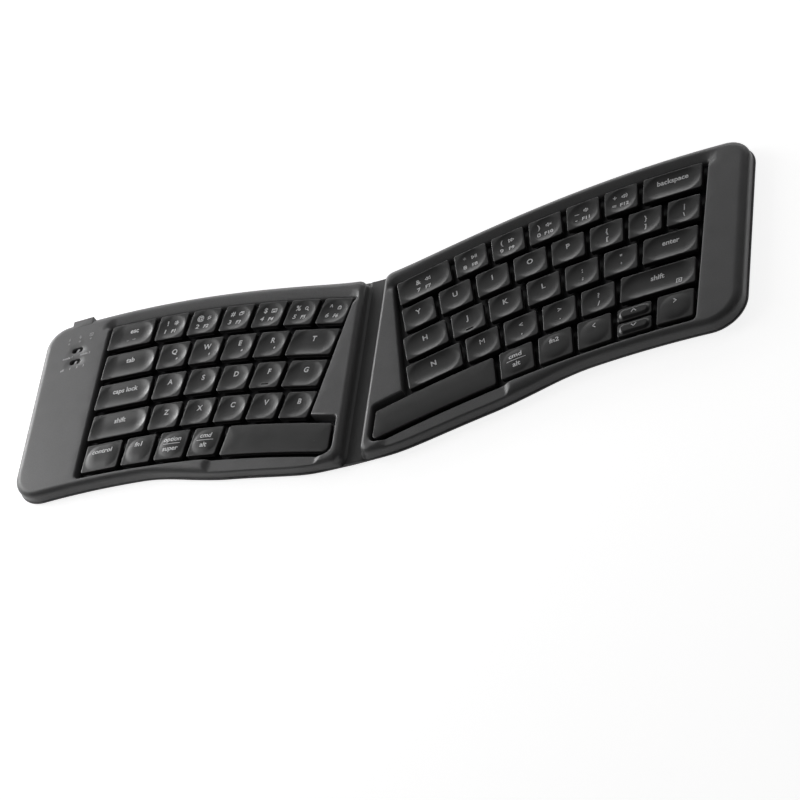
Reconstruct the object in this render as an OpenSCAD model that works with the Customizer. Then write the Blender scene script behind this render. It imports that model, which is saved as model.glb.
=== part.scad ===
// Folding keyboard: two thin halves that swing up and close face to face on a
// flexible spine, with low-travel keys on scissor links and rubber domes.
// +X runs across the keyboard, +Y away from the user, +Z up.
// The origin is on the table under the middle of the opened keyboard.

/* [Rows] */
// Angle of the key rows at the hinge
row_angle = 16.9; // [12:0.1:20]
// Distance from the hinge at which the rows run straight across
flat_x = 150; // [140:1:170]
// How quickly the rows flatten towards the outer end
row_bend = 1.23; // [1:0.01:1.6]
// Distance from the middle of one row to the next
row_pitch = 16.9; // [16.5:0.1:17.5]
// Middle of the number row where it would meet the hinge line
row1_y = 16.66; // [15:0.01:20]

/* [Keys] */
// Width of a letter key
cap_w = 14.5; // [13.5:0.1:15]
// Depth of a letter key
cap_d = 13.4; // [12.5:0.1:14]
// Depth of a bottom row key
bottom_cap_d = 14.8; // [14:0.1:15.2]
// Gap between keys in a row
key_gap = 2.5; // [2:0.1:3]
// Height of a keycap
cap_h = 2.2; // [2:0.1:2.4]
// Wall of a keycap's skirt
cap_wall = 0.9; // [0.7:0.1:1.1]
// Thickness of a keycap's top
cap_top = 1; // [0.8:0.1:1.2]
// Corner radius of a keycap
cap_r = 1.2; // [0.6:0.1:2]
// Depth of the finger dish
dish_depth = 0.45; // [0.2:0.05:0.6]
// How far a key travels
key_travel = 1.5; // [1:0.1:1.8]
// Width of the escape key
esc_w = 22.6; // [20:0.1:26]
// Width of the backspace key
backspace_w = 25.8; // [22:0.1:30]
// Inner end of the space bars, from the hinge line
space_inner_x = 10.2; // [9.5:0.1:12]
// Gap between the half-height arrow keys
arrow_gap = 1; // [0.6:0.1:1.6]

/* [Case] */
// Width of the panel outside the right half's keys
side_margin = 17.4; // [15:0.1:22]
// From the middle of the number row to the back edge of the frame
back_margin = 15.5; // [13:0.1:18]
// From the middle of the bottom row to the front edge of the frame
front_margin = 11.8; // [10.5:0.1:14]
// Extra depth of the front edge beside the space bars
thumb_bulge = 4.2; // [2:0.1:6]
// Extra depth of the front edge at the outer corners
front_flare = 1.1; // [0:0.1:2]
// Radius of the outer back corners
corner_back = 11; // [8:0.5:14]
// Radius of the outer front corners
corner_front = 14; // [10:0.5:16]
// Radius of the frame corners beside the hinge
corner_hinge = 4; // [2:0.1:6]
// Inner wall of the frame, from the hinge line
frame_inner_x = 6.6; // [6.6:0.1:7.2]
// Height of the frame over the back skin
frame_h = 5.6; // [5.4:0.05:5.65]
// Width of the rounding around the frame's top
edge_w = 4; // [2:0.1:4.5]
// Drop of the rounding around the frame's top
edge_drop = 2.6; // [1.5:0.1:3]
// Thickness of the frame's deck
deck_t = 1.2; // [1:0.1:1.4]
// Thickness of the frame's outer wall
wall_t = 1.8; // [1.4:0.1:2]
// Thickness of the wall around the keys
curb_t = 1.1; // [0.8:0.1:1.2]

/* [Back and spine] */
// Height of the rubber feet
foot_h = 0.5; // [0.4:0.1:1]
// Thickness of the flexible back skin
skin_t = 1; // [0.8:0.1:1.2]
// How far the skin stands out around the frame
lip_w = 0.6; // [0.3:0.1:1]
// Distance between the two folding lines
hinge_gap = 11.5; // [11.5:0.1:12]
// Thickness of the base tray's floor
tray_t = 0.6; // [0.5:0.1:0.7]
// Thickness of the plate that keeps the spine flat
stiffener_t = 0.25; // [0.2:0.05:0.25]
// Thickness of the spine's inner lining
lining_t = 0.3; // [0.25:0.05:0.3]
// Thickness of the key support plate
plate_t = 0.3; // [0.2:0.05:0.35]
// Thickness of the switch membrane
membrane_t = 0.2; // [0.15:0.05:0.25]

/* [Port and switches] */
// Distance of the charging port from the outer edge
port_inset = 18.5; // [17:0.1:20]
// Width of the port's tab on the back edge
port_tab_w = 10.4; // [10.2:0.1:11]
// How far the port's tab stands out
port_tab_y = 0.9; // [0.5:0.1:2]
// Middle of the slide switches, from the outer edge
switch_inset = 18.9; // [18:0.1:20]
// Throw of a slide switch, from its middle to either end
switch_throw = 1.2; // [0.8:0.1:1.4]

/* [Hidden] */

left = -1;
right = 1;
bore_fn = 32;

fold_x = hinge_gap / 2;

// heights, from the table up
skin_z = foot_h;
fold_z = skin_z + skin_t;
tray_top_z = fold_z + tray_t;
plate_top_z = tray_top_z + plate_t;
membrane_top_z = plate_top_z + membrane_t;
frame_top_z = fold_z + frame_h;
deck_under_z = frame_top_z - deck_t;
cap_rest_gap = 0.3;
cap_base_z = frame_top_z - cap_rest_gap - cap_h;
cap_pocket_z = cap_base_z + cap_h - cap_top;

// rows: y of a row rises away from the hinge and then levels out
hinge_slope = tan(row_angle);
function rise(x) = hinge_slope * (x - pow(x, row_bend + 1) / ((row_bend + 1) * pow(flat_x, row_bend)));
function slope(x) = hinge_slope * (1 - pow(x / flat_x, row_bend));
function turn(x) = atan(slope(x));
last_row_extra = (bottom_cap_d - cap_d) / 2 - 0.6;
function row_y(r) = row1_y - row_pitch * (r - 1) - (r == 5 ? last_row_extra : 0);
function row_depth(r) = r == 5 ? bottom_cap_d : cap_d;

// key widths of each row, from the hinge outwards; the outermost key of the first
// row has its own width, and those below it fill their rows to the same end
unit = cap_w;
left_widths = [
  [unit, unit, unit, unit, unit, unit],
  [23.3, unit, unit, unit, unit],
  [18.5, unit, unit, unit, unit],
  [unit, unit, unit, unit, unit],
  [unit, unit, unit]
];
right_widths = [
  [24.1, unit, unit, unit, unit, unit],
  [unit, unit, unit, unit, unit, unit, unit],
  [19.3, unit, unit, unit, unit, unit],
  [24.4, unit, unit, unit, unit],
  [unit, unit, unit, unit]
];
left_starts = [10.6, 14.8, 18.5, 21.2, 64.5];
right_starts = [13.2, 17.4, 20, 23.2, 65.6];
function inner_widths(side, r) = side == left ? left_widths[r - 1] : right_widths[r - 1];
function last_key(side, r) = len(inner_widths(side, r));
function start_x(side, r) = side == left ? left_starts[r - 1] : right_starts[r - 1];
function along(x, w) = w * cos(turn(x + w / 2));
function key_x0(side, r, i) =
  i == 0 ? start_x(side, r)
  : let (x = key_x0(side, r, i - 1)) x + along(x, inner_widths(side, r)[i - 1] + key_gap);
function corner_key_w(side) = side == left ? esc_w : backspace_w;
function row_end(side) =
  let (x = key_x0(side, 1, last_key(side, 1))) x + along(x, corner_key_w(side));
function key_w(side, r, i) =
  i < last_key(side, r) ? inner_widths(side, r)[i]
  : let (x = key_x0(side, r, i)) (row_end(side) - x) / cos(turn((x + row_end(side)) / 2));
function key_x(side, r, i) = let (x = key_x0(side, r, i)) x + along(x, key_w(side, r, i)) / 2;
arrow_index = 3;

// room between the outermost keys and the wall of the well, [back, front]
left_well_side = [1.6, 3.4];
right_well_side = [2.6, 1.6];
half_w = row_end(right) + right_well_side[0] + side_margin;

// frame edges: both follow the rows, the front one swells beside the space bars
notch_round = 12;
tip_round = 3;
bulge_end = 60;
bulge_fade = 45;
back_line = row1_y + back_margin;
front_line = row_y(5) - front_margin;
tip_rise = 6.2;
tip_y = front_line - thumb_bulge + tip_rise;
function smooth_max(a, b, k) = (a + b + sqrt((a - b) * (a - b) + k * k)) / 2;
function fade(x) = min(1, max(0, (x - bulge_end) / bulge_fade));
function bulge(x) = thumb_bulge * (1 + cos(180 * fade(x))) / 2;
function back_edge(x) = back_line + rise(sqrt(x * x + notch_round * notch_round));
function flare(x) = front_flare * pow(x / half_w, 2);
function front_edge(x) = smooth_max(front_line - bulge(x) - flare(x) + rise(x), tip_y, tip_round);
function back_slope(x) = back_edge(x + 0.5) - back_edge(x - 0.5);
function front_slope(x) = x < 0.5 ? 0 : front_edge(x + 0.5) - front_edge(x - 0.5);
function stretch(s) = sqrt(1 + s * s);
edge_steps = 20;
arc_steps = 5;
function spread(a, b, n) = [for (i = [0:n]) a + (b - a) * i / n];
function arc(cx, cy, r, a0, a1) =
  [for (a = spread(a0, a1, arc_steps)) [cx + r * cos(a), cy + r * sin(a)]];

// outline of a half, inset by d around the outside, with its hinge side at xi
function front_at(x, d) = front_edge(x) + d * stretch(front_slope(x));
function back_at(x, d) = back_edge(x) - d * stretch(back_slope(x));
function front_corner(xi, d, r) =
  let (a1 = 270 + atan(front_slope(xi + r)), xt = xi + r + r * cos(a1))
  arc(xi + r, front_at(xt, d) - r * sin(a1), r, 180, a1);
function back_corner(xi, d, r) =
  let (a0 = 90 + atan(back_slope(xi + r)), xt = xi + r + r * cos(a0))
  arc(xi + r, back_at(xt, d) - r * sin(a0), r, a0, 180);
function half_outline(d, xi, r) =
  let (
    fc = front_corner(xi, d, r),
    bc = back_corner(xi, d, r),
    fx = half_w - corner_front,
    bx = half_w - corner_back,
    f = spread(fc[arc_steps][0], fx, edge_steps),
    b = spread(bx, bc[0][0], edge_steps)
  )
  concat(
    fc,
    [for (i = [1:edge_steps - 1]) [f[i], front_at(f[i], d)]],
    arc(fx, front_edge(fx) + corner_front, corner_front - d, 270, 360),
    arc(bx, back_edge(bx) - corner_back, corner_back - d, 0, 90),
    [for (i = [1:edge_steps - 1]) [b[i], back_at(b[i], d)]],
    bc
  );

// closed shell through rings of equal length, each [height, outline]; the end faces
// are strips between the front run of the outline and its back run
function ring_points(rings) = [for (q = rings) for (p = q[1]) [p[0], p[1], q[0]]];
module loft(rings) {
  n = len(rings[0][1]);
  m = len(rings);
  top = (m - 1) * n;
  caps = [
    for (i = [0:n / 2 - 2])
      let (a = i, b = i + 1, c = n - 2 - i, e = n - 1 - i)
        for (t = [[a, b, c], [a, c, e], [top + c, top + b, top + a], [top + e, top + c, top + a]]) t
  ];
  sides = [
    for (k = [0:m - 2])
      for (i = [0:n - 1])
        let (j = (i + 1) % n, a = k * n + i, b = (k + 1) * n + i, c = (k + 1) * n + j, e = k * n + j)
          for (t = [[a, b, c], [a, c, e]]) t
  ];
  polyhedron(points = ring_points(rings), faces = concat(caps, sides));
}

module on_side(side) {
  if (side == left) mirror([1, 0, 0]) children();
  else children();
}

// rounded corner at b between the straight runs from a and to c
function unit_of(v) = v / norm(v);
function fillet(a, b, c, r) =
  let (
    u = unit_of(a - b),
    v = unit_of(c - b),
    half = acos(u * v) / 2,
    m = b + unit_of(u + v) * r / sin(half),
    p = b + u * r / tan(half) - m,
    q = b + v * r / tan(half) - m,
    a0 = atan2(p[1], p[0]),
    a1 = atan2(q[1], q[0]),
    sweep = a1 - a0 > 180 ? a1 - a0 - 360 : (a1 - a0 < -180 ? a1 - a0 + 360 : a1 - a0)
  )
  [for (i = [0:arc_steps]) m + r * [cos(a0 + sweep * i / arc_steps), sin(a0 + sweep * i / arc_steps)]];

// key well: one opening around the keys of a half, e larger on every side
well_back_gap = 1.6;
well_front_gap = 2;
well_corner = 2.5;
well_nose_corner = 4.5;
space_ledge = 4;
well_space_gap = 1.9;
well_space_x = space_inner_x - well_space_gap;
well_top_line = row1_y + cap_d / 2 + well_back_gap;
well_low_line = row_y(5) - bottom_cap_d / 2 - well_front_gap;
well_step_line = row_y(5) + bottom_cap_d / 2 + space_ledge;
left_well_inner_gap = [2.4, 0.2];
right_well_inner_gap = [3.8, 1.8];
function well_outer(side) =
  row_end(side) * [1, 1] + (side == left ? left_well_side : right_well_side);
function well_inner(side) =
  [start_x(side, 1), start_x(side, 4)] - (side == left ? left_well_inner_gap : right_well_inner_gap);
function well_outline(side, e) =
  let (
    o = well_outer(side),
    n = well_inner(side),
    top = function(x) well_top_line + rise(x) + e * stretch(slope(x)),
    low = function(x) well_low_line + rise(x) - e * stretch(slope(x)),
    step = function(x) well_step_line + rise(x) + e * stretch(slope(x)),
    ob = [o[0] + e, top(o[0])],
    of = [o[1] + e, low(o[1])],
    ib = [n[0] - e, top(n[0])],
    im = [n[1] - e, step(n[1])],
    sb = [well_space_x - e, step(well_space_x)],
    sf = [well_space_x - e, low(well_space_x)],
    lx = spread(well_space_x + 6, o[1] - 4, edge_steps),
    tx = spread(o[0] - 4, n[0] + 4, edge_steps),
    lows = [for (x = lx) [x, low(x)]],
    tops = [for (x = tx) [x, top(x)]]
  )
  concat(
    fillet(sb, sf, lows[0], well_nose_corner),
    lows,
    fillet(lows[edge_steps], of, ob, well_corner),
    fillet(of, ob, tops[0], well_corner),
    tops,
    fillet(tops[edge_steps], ib, im, well_corner / 2),
    [im],
    fillet(im, sb, sf, well_corner)
  );

module well_prism(side, e, z0, z1) {
  translate([0, 0, z0]) linear_extrude(z1 - z0) polygon(well_outline(side, e));
}

module half_prism(d, xi, r, z0, z1) {
  translate([0, 0, z0]) linear_extrude(z1 - z0) polygon(half_outline(d, xi, r));
}

// Screws: one in each outer corner and one in the panel beside the hinge
screw_r = 0.6;
screw_head_r = 1.25;
screw_head_h = 0.35;
screw_clearance = 0.05;
boss_r = 1.7;
screw_inset = 6.5;
screw_from_edge = 14;
screw_spots = [
  [half_w - screw_inset, back_edge(half_w) - screw_from_edge],
  [half_w - screw_inset, front_edge(half_w) + screw_from_edge],
  [frame_inner_x + 5, row_y(3) + 1]
];
screw_len = 3.2;

// Magnets that hold the closed halves together
magnet_r = 2.5;
magnet_h = 1.6;
magnet_inset = 6.5;
magnet_x = half_w - magnet_inset;
magnet_ys = [row_y(2), row_y(4)];
magnet_z = deck_under_z - magnet_h;

// Charging port
port_x = half_w - port_inset;
port_y = back_edge(port_x) + port_tab_y;
socket_w = 8.94;
socket_h = 3.16;
socket_d = 7.3;
socket_z = tray_top_z + 0.05;
socket_clear = 0.1;
socket_set_back = 0.4;

// Slide switches
switch_x = half_w - switch_inset;
mode_switch_y = row_y(1) + rise(switch_x) - 1.8;
switch_pitch = 6.7;
power_switch_y = mode_switch_y - switch_pitch;
switch_ys = [mode_switch_y, power_switch_y];
slot_w = 5.6;
slot_d = 2.8;
knob_w = 2;
knob_d = 1.8;
switch_body = [6.4, 3.6, 1.4];
light_ys = row_y(1) + rise(switch_x) + 3.4;
light_xs = [switch_x - 5.8, switch_x, switch_x + 5.6];
light_r = 0.5;

// Main board and battery lie in the left margin
board_t = 0.8;
bay_gap = 2.5;
bay_inset = 10.3;
bay_x = [row_end(left) + left_well_side[1] + curb_t + bay_gap, half_w - bay_inset];
board_y = [row_y(2) + rise(switch_x) + 3, back_line + rise(switch_x) - wall_t - 1.2];
board_top_z = tray_top_z + board_t;
battery_y = [row_y(4) + rise(switch_x) - 8, board_y[0] - 1.5];
battery_h = 2.6;

hinge_lean = 0.35;
module frame_shell() {
  r = corner_hinge;
  steps = [for (a = [0:22.5:90]) [edge_w * (1 - cos(a)), edge_drop * sin(a)]];
  base = [fold_z, half_outline(0, frame_inner_x, r)];
  rings = [
    for (s = steps)
      [frame_top_z - edge_drop + s[1], half_outline(s[0], frame_inner_x + hinge_lean * s[0], r)]
  ];
  loft(concat([base], rings));
}

// thumb recess in the front edge beside the space bar, with sloping ends
scoop_x = [space_inner_x + 5.3, start_x(left, 5) + 3];
scoop_mid = (scoop_x[0] + scoop_x[1]) / 2;
scoop_depth = 1.2;
scoop_tilt = 3;
scoop_ramp = 24;
scoop_wall = 2;
scoop_len = (scoop_x[1] - scoop_x[0]) / cos(turn(scoop_mid));
scoop_reach = front_margin + thumb_bulge;
module at_scoop(z) {
  translate([scoop_mid, well_low_line + rise(scoop_mid), z])
    rotate([0, 0, turn(scoop_mid)])
      children();
}

module scoop_cut() {
  half = scoop_len / 2;
  flare_out = frame_h / tan(scoop_ramp);
  at_scoop(frame_top_z - scoop_depth)
    rotate([90 + scoop_tilt, 0, 0])
      translate([0, 0, -curb_t])
        linear_extrude(scoop_reach + curb_t)
          polygon([[-half, 0], [half, 0], [half + flare_out, frame_h], [-half - flare_out, frame_h]]);
}

module scoop_bed() {
  bed = scoop_len + 2 * scoop_wall;
  at_scoop(tray_top_z + tray_gap)
    translate([-bed / 2, -scoop_reach, 0])
      cube([bed, scoop_reach, frame_h]);
}

hinge_wall_t = 1.2;
tray_gap = 0.2;
module frame_cavity(side) {
  // room under the deck, between the outer wall and the wall around the keys
  difference() {
    half_prism(wall_t, frame_inner_x + hinge_wall_t, 2, fold_z - 1, deck_under_z);
    well_prism(side, curb_t, fold_z - 2, frame_top_z);
    scoop_bed();
  }
}

module frame(side) {
  on_side(side)
    difference() {
      union() {
        difference() {
          frame_shell();
          frame_cavity(side);
        }
        for (p = screw_spots)
          translate([p[0], p[1], tray_top_z])
            cylinder(r = boss_r, h = deck_under_z - tray_top_z + 0.2, $fn = bore_fn);
      }
      well_prism(side, 0, fold_z - 1, frame_top_z + 1);
      well_prism(side, curb_t + 0.1, fold_z - 1, membrane_top_z);
      scoop_cut();
      for (p = screw_spots)
        translate([p[0], p[1], fold_z - 1])
          cylinder(r = screw_r + screw_clearance, h = screw_len + 1.3, $fn = bore_fn);
      flex_channel(0, frame_inner_x + hinge_wall_t + 1, fold_z - 1, flex_cover_z);
      if (side == left) left_frame_cuts();
    }
}

// Flat cable that joins the two membranes across the spine
flex_w = 12;
flex_t = 0.15;
flex_room = 0.05;
flex_side_room = 0.5;
flex_y = row_y(4);
flex_reach = 24;
flex_z = fold_z + stiffener_t;
flex_cover_z = flex_z + flex_t + flex_room;
module flex_channel(x0, x1, z0, z1) {
  translate([x0, flex_y - flex_w / 2 - flex_side_room, z0])
    cube([x1 - x0, flex_w + 2 * flex_side_room, z1 - z0]);
}

module port_tab() {
  // flat-topped block that carries the charging port on the back edge
  y0 = back_edge(port_x) - 3;
  difference() {
    translate([port_x - port_tab_w / 2, y0, fold_z])
      cube([port_tab_w, port_y - y0, frame_h]);
    translate([port_x - socket_w / 2 - socket_clear, y0 - 1, socket_z - socket_clear])
      cube([socket_w + 2 * socket_clear, port_y - y0 + 2, socket_h + 2 * socket_clear]);
  }
}

module left_frame_cuts() {
  translate([port_x - socket_w / 2 - socket_clear, port_y - 14, socket_z - socket_clear])
    cube([socket_w + 2 * socket_clear, 20, socket_h + 2 * socket_clear]);
  for (y = switch_ys)
    translate([switch_x - slot_w / 2, y - slot_d / 2, deck_under_z - 1])
      cube([slot_w, slot_d, deck_t + 2]);
  for (x = light_xs)
    translate([x, light_ys, deck_under_z - 1])
      cylinder(r = light_r + 0.02, h = deck_t + 2, $fn = bore_fn);
}

module left_frame() {
  color("dimgray") {
    frame(left);
    on_side(left) port_tab();
  }
}

module right_frame() {
  color("dimgray") frame(right);
}

skin_corner = 0.3;
module back_skin(side) {
  on_side(side)
    half_prism(-lip_w, fold_x, skin_corner, skin_z, fold_z);
}

module left_back_skin() {
  color("gray") {
    back_skin(left);
    on_side(left)
      translate([port_x - port_tab_w / 2 - lip_w, back_edge(port_x) - 1, skin_z])
        cube([port_tab_w + 2 * lip_w, port_tab_y + 1 + lip_w, skin_t]);
  }
}

module right_back_skin() {
  color("gray") back_skin(right);
}

module base_tray(side) {
  on_side(side)
    difference() {
      half_prism(wall_t + tray_gap, frame_inner_x + hinge_wall_t + tray_gap, 2 - tray_gap, fold_z, tray_top_z);
      for (p = screw_spots)
        translate([p[0], p[1], fold_z - 1]) {
          cylinder(r = screw_r + 0.15, h = 4, $fn = bore_fn);
          cylinder(r = screw_head_r + 0.1, h = 1 + screw_head_h, $fn = bore_fn);
        }
      flex_channel(0, flex_reach + 0.5, flex_z - flex_room, tray_top_z + 1);
    }
}

module left_base_tray() {
  color("darkslategray") base_tray(left);
}

module right_base_tray() {
  color("darkslategray") base_tray(right);
}

module screws(side) {
  on_side(side)
    for (p = screw_spots)
      translate([p[0], p[1], fold_z]) {
        cylinder(r = screw_head_r, h = screw_head_h, $fn = bore_fn);
        cylinder(r = screw_r, h = screw_len, $fn = bore_fn);
      }
}

module left_screws() {
  color("silver") screws(left);
}

module right_screws() {
  color("silver") screws(right);
}

// long rubber strips under the back skin, along the front and back edges
foot_w = 4;
foot_steps = 6;
foot_spans = [[18, 58], [half_w - 68.5, half_w - 22.5]];
front_foot_y = front_line + 4;
back_foot_y = row1_y + 6;
module foot(span, y) {
  xs = spread(span[0], span[1], foot_steps);
  linear_extrude(foot_h)
    polygon(concat(
      [for (x = xs) [x, y + rise(x)]],
      [for (i = [foot_steps:-1:0]) [xs[i], y + foot_w + rise(xs[i])]]
    ));
}

module feet(side) {
  on_side(side)
    for (span = foot_spans)
      for (y = [front_foot_y, back_foot_y])
        foot(span, y);
}

module left_feet() {
  color("black") feet(left);
}

module right_feet() {
  color("black") feet(right);
}

module magnets(side) {
  on_side(side)
    for (y = magnet_ys)
      translate([magnet_x, y + rise(magnet_x), magnet_z])
        cylinder(r = magnet_r, h = magnet_h, $fn = bore_fn);
}

module left_magnets() {
  color("lightgray") magnets(left);
}

module right_magnets() {
  color("lightgray") magnets(right);
}

plate_margin = 0.9;
module key_plate(side) {
  on_side(side)
    well_prism(side, plate_margin, tray_top_z, plate_top_z);
}

module left_key_plate() {
  color("silver") key_plate(left);
}

module right_key_plate() {
  color("silver") key_plate(right);
}

module membrane(side) {
  on_side(side)
    well_prism(side, plate_margin - 0.2, plate_top_z, membrane_top_z);
}

module left_membrane() {
  color("black") membrane(left);
}

module right_membrane() {
  color("black") membrane(right);
}

// Places of the keys
module at_key(side, r, i) {
  x = key_x(side, r, i);
  on_side(side)
    translate([x, row_y(r) + rise(x), 0])
      rotate([0, 0, turn(x)])
        children();
}

space_outer_gap = 2.5;
function space_outer_x(side) = start_x(side, 5) - space_outer_gap;
function space_mid_x(side) = (space_inner_x + space_outer_x(side)) / 2;
module at_space(side, x) {
  on_side(side)
    translate([x, row_y(5) + rise(x), 0])
      rotate([0, 0, turn(x)])
        children();
}

dome_r = 2.9;
dome_neck_r = 1.7;
dome_wall = 0.35;
dome_top_gap = 0.1;
dome_h = cap_pocket_z - membrane_top_z - dome_top_gap;
module dome() {
  translate([0, 0, membrane_top_z])
    rotate_extrude($fn = bore_fn)
      polygon([
        [dome_r - dome_wall, 0], [dome_r, 0], [dome_neck_r, dome_h * 0.6], [dome_neck_r, dome_h],
        [0, dome_h], [0, dome_h - dome_wall * 2], [dome_neck_r - dome_wall, dome_h * 0.6]
      ]);
}

// two small frames that cross at their middle and fold flat as the key goes down
link_w = 0.7;
link_t = 0.5;
link_len = 8.6;
link_half = 4.9;
link_gap = 0.1;
link_side_gap = 0.15;
link_lift = cap_pocket_z - membrane_top_z - 2 * link_gap - link_t;
link_angle = asin(link_lift / link_len);
module link_frame(half, angle) {
  translate([0, 0, (cap_pocket_z + membrane_top_z) / 2])
    rotate([angle, 0, 0])
      difference() {
        translate([-half, -link_len / 2, -link_t / 2])
          cube([2 * half, link_len, link_t]);
        translate([-half + link_w, -link_len / 2 + link_w, -link_t])
          cube([2 * half - 2 * link_w, link_len - 2 * link_w, 2 * link_t]);
      }
}

module scissor() {
  link_frame(link_half, link_angle);
  link_frame(link_half - link_w - link_side_gap, -link_angle);
}

module each_key(side) {
  for (r = [1:5])
    for (i = [0:last_key(side, r)])
      if (!(side == right && r == 5 && i == arrow_index))
        at_key(side, r, i) children();
}

space_spread = 15;
module each_space_support(side, n) {
  for (k = [-n:n])
    at_space(side, space_mid_x(side) + k * space_spread) children();
}

module left_domes() {
  color("white") {
    each_key(left) dome();
    each_space_support(left, 0) dome();
  }
}

module right_domes() {
  color("white") {
    each_key(right) dome();
    each_space_support(right, 0) dome();
    arrow_domes();
  }
}

arrow_d = (bottom_cap_d - arrow_gap) / 2;
arrow_shift = (arrow_d + arrow_gap) / 2;
arrow_dome_r = 1.5;
module arrow_domes() {
  for (s = [-1, 1])
    at_key(right, 5, arrow_index)
      translate([0, s * arrow_shift, membrane_top_z])
        cylinder(r = arrow_dome_r, h = dome_h, $fn = bore_fn);
}

module left_scissors() {
  color("whitesmoke") {
    each_key(left) scissor();
    each_space_support(left, 1) scissor();
  }
}

module right_scissors() {
  color("whitesmoke") {
    each_key(right) scissor();
    each_space_support(right, 1) scissor();
  }
}

// Keycaps
corner_steps = 2;
function quarter(cx, cy, r, a0) =
  [for (i = [0:corner_steps]) let (a = a0 + 90 * i / corner_steps) [cx + r * cos(a), cy + r * sin(a)]];
function round_rect(w, d, r) =
  concat(
    quarter(w / 2 - r, -d / 2 + r, r, 270),
    quarter(w / 2 - r, d / 2 - r, r, 0),
    quarter(-w / 2 + r, d / 2 - r, r, 90),
    quarter(-w / 2 + r, -d / 2 + r, r, 180)
  );
function cap_ring(z, w, d, inset, r) = [z, round_rect(w - 2 * inset, d - 2 * inset, r)];

cap_bevel = 0.25;
rim_w = 0.9;
dish_steps = [[2.4, 0.6], [4.2, 1]];
crown = 0.3;
crown_steps = [[2.4, 0.7], [4.2, 1]];
arrow_crown_steps = [[1.5, 0.8], [2, 1]];
cap_top_z = cap_base_z + cap_h;

// hollow cap in one closed skin: pocket, skirt, rim, then a dished or crowned top
module cap(w, d, top_z, bow_steps, bow) {
  pocket_r = cap_r / 2;
  loft(concat(
    [
      cap_ring(cap_pocket_z, w, d, cap_wall, pocket_r),
      cap_ring(cap_base_z, w, d, cap_wall, pocket_r),
      cap_ring(cap_base_z, w, d, 0, cap_r),
      cap_ring(top_z - cap_bevel, w, d, 0, cap_r),
      cap_ring(top_z, w, d, cap_bevel, cap_r),
      cap_ring(top_z, w, d, rim_w, cap_r)
    ],
    [for (s = bow_steps) cap_ring(top_z + bow * s[1], w, d, s[0], cap_r)]
  ));
}

module dished_cap(w) {
  cap(w, cap_d, cap_top_z, dish_steps, -dish_depth);
}

module crowned_cap(w, d) {
  cap(w, d, cap_top_z - crown, crown_steps, crown);
}

module keys(side, r, first, last) {
  for (i = [first:last])
    at_key(side, r, i)
      if (r == 5) crowned_cap(key_w(side, r, i), bottom_cap_d);
      else dished_cap(key_w(side, r, i));
}

bar_w = 3.6;
bar_d = 0.6;
bar_y = 2.2;
module homing_bar(side, i) {
  at_key(side, 3, i)
    translate([-bar_w / 2, -cap_d / 2 + bar_y, cap_top_z - dish_depth - 0.2])
      cube([bar_w, bar_d, dish_depth + 0.15]);
}

// curved space bar: straight ends square to the row, inset by d on every side
space_steps = 8;
space_nose_r = 2;
function space_outline(side, d) =
  let (
    x0 = space_inner_x + d,
    x1 = space_outer_x(side) - d,
    half_d = bottom_cap_d / 2 - d,
    lean = half_d * sin(turn(x1)) / (x1 - x0),
    xs = spread(x0, x1, space_steps),
    low = [for (x = xs) [x + lean * (x - x0), row_y(5) - half_d + rise(x)]],
    top = [for (x = xs) [x - lean * (x - x0), row_y(5) + half_d + rise(x)]],
    n = space_steps
  )
  concat(
    fillet(top[0], low[0], low[1], space_nose_r),
    [for (i = [1:n - 1]) low[i]],
    fillet(low[n - 1], low[n], top[n], cap_r),
    fillet(low[n], top[n], top[n - 1], cap_r),
    [for (i = [n - 1:-1:1]) top[i]],
    fillet(top[1], top[0], low[0], cap_r)
  );

module space_bar(side) {
  top_z = cap_top_z - crown;
  on_side(side)
    loft(concat(
      [
        [cap_pocket_z, space_outline(side, cap_wall)],
        [cap_base_z, space_outline(side, cap_wall)],
        [cap_base_z, space_outline(side, 0)],
        [top_z - cap_bevel, space_outline(side, 0)],
        [top_z, space_outline(side, cap_bevel)]
      ],
      [for (s = crown_steps) [top_z + crown * s[1], space_outline(side, s[0])]]
    ));
}

module arrow_half(s) {
  at_key(right, 5, arrow_index)
    translate([0, s * arrow_shift, 0])
      cap(cap_w, arrow_d, cap_top_z - crown, arrow_crown_steps, crown);
}

module left_number_keys() {
  color("black") keys(left, 1, 0, 5);
}

module left_top_letter_keys() {
  color("black") keys(left, 2, 0, 4);
}

module left_home_letter_keys() {
  color("black") {
    keys(left, 3, 0, 4);
    homing_bar(left, 1);
  }
}

module left_low_letter_keys() {
  color("black") keys(left, 4, 0, 4);
}

module key_esc() {
  color("black") keys(left, 1, 6, 6);
}

module key_tab() {
  color("black") keys(left, 2, 5, 5);
}

module key_caps() {
  color("black") keys(left, 3, 5, 5);
}

module key_left_shift() {
  color("black") keys(left, 4, 5, 5);
}

module key_control() {
  color("black") keys(left, 5, 3, 3);
}

module key_left_fn() {
  color("black") keys(left, 5, 2, 2);
}

module key_left_option() {
  color("black") keys(left, 5, 1, 1);
}

module key_left_command() {
  color("black") keys(left, 5, 0, 0);
}

module left_space_bar() {
  color("black") space_bar(left);
}

module right_number_keys() {
  color("black") keys(right, 1, 0, 5);
}

module right_top_letter_keys() {
  color("black") keys(right, 2, 0, 7);
}

module right_home_letter_keys() {
  color("black") {
    keys(right, 3, 0, 5);
    homing_bar(right, 1);
  }
}

module right_low_letter_keys() {
  color("black") keys(right, 4, 0, 4);
}

module key_backspace() {
  color("black") keys(right, 1, 6, 6);
}

module key_enter() {
  color("black") keys(right, 3, 6, 6);
}

module key_right_shift() {
  color("black") keys(right, 4, 5, 5);
}

module key_right_command() {
  color("black") keys(right, 5, 0, 0);
}

module key_right_fn() {
  color("black") keys(right, 5, 1, 1);
}

module key_arrow_left() {
  color("black") keys(right, 5, 2, 2);
}

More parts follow.
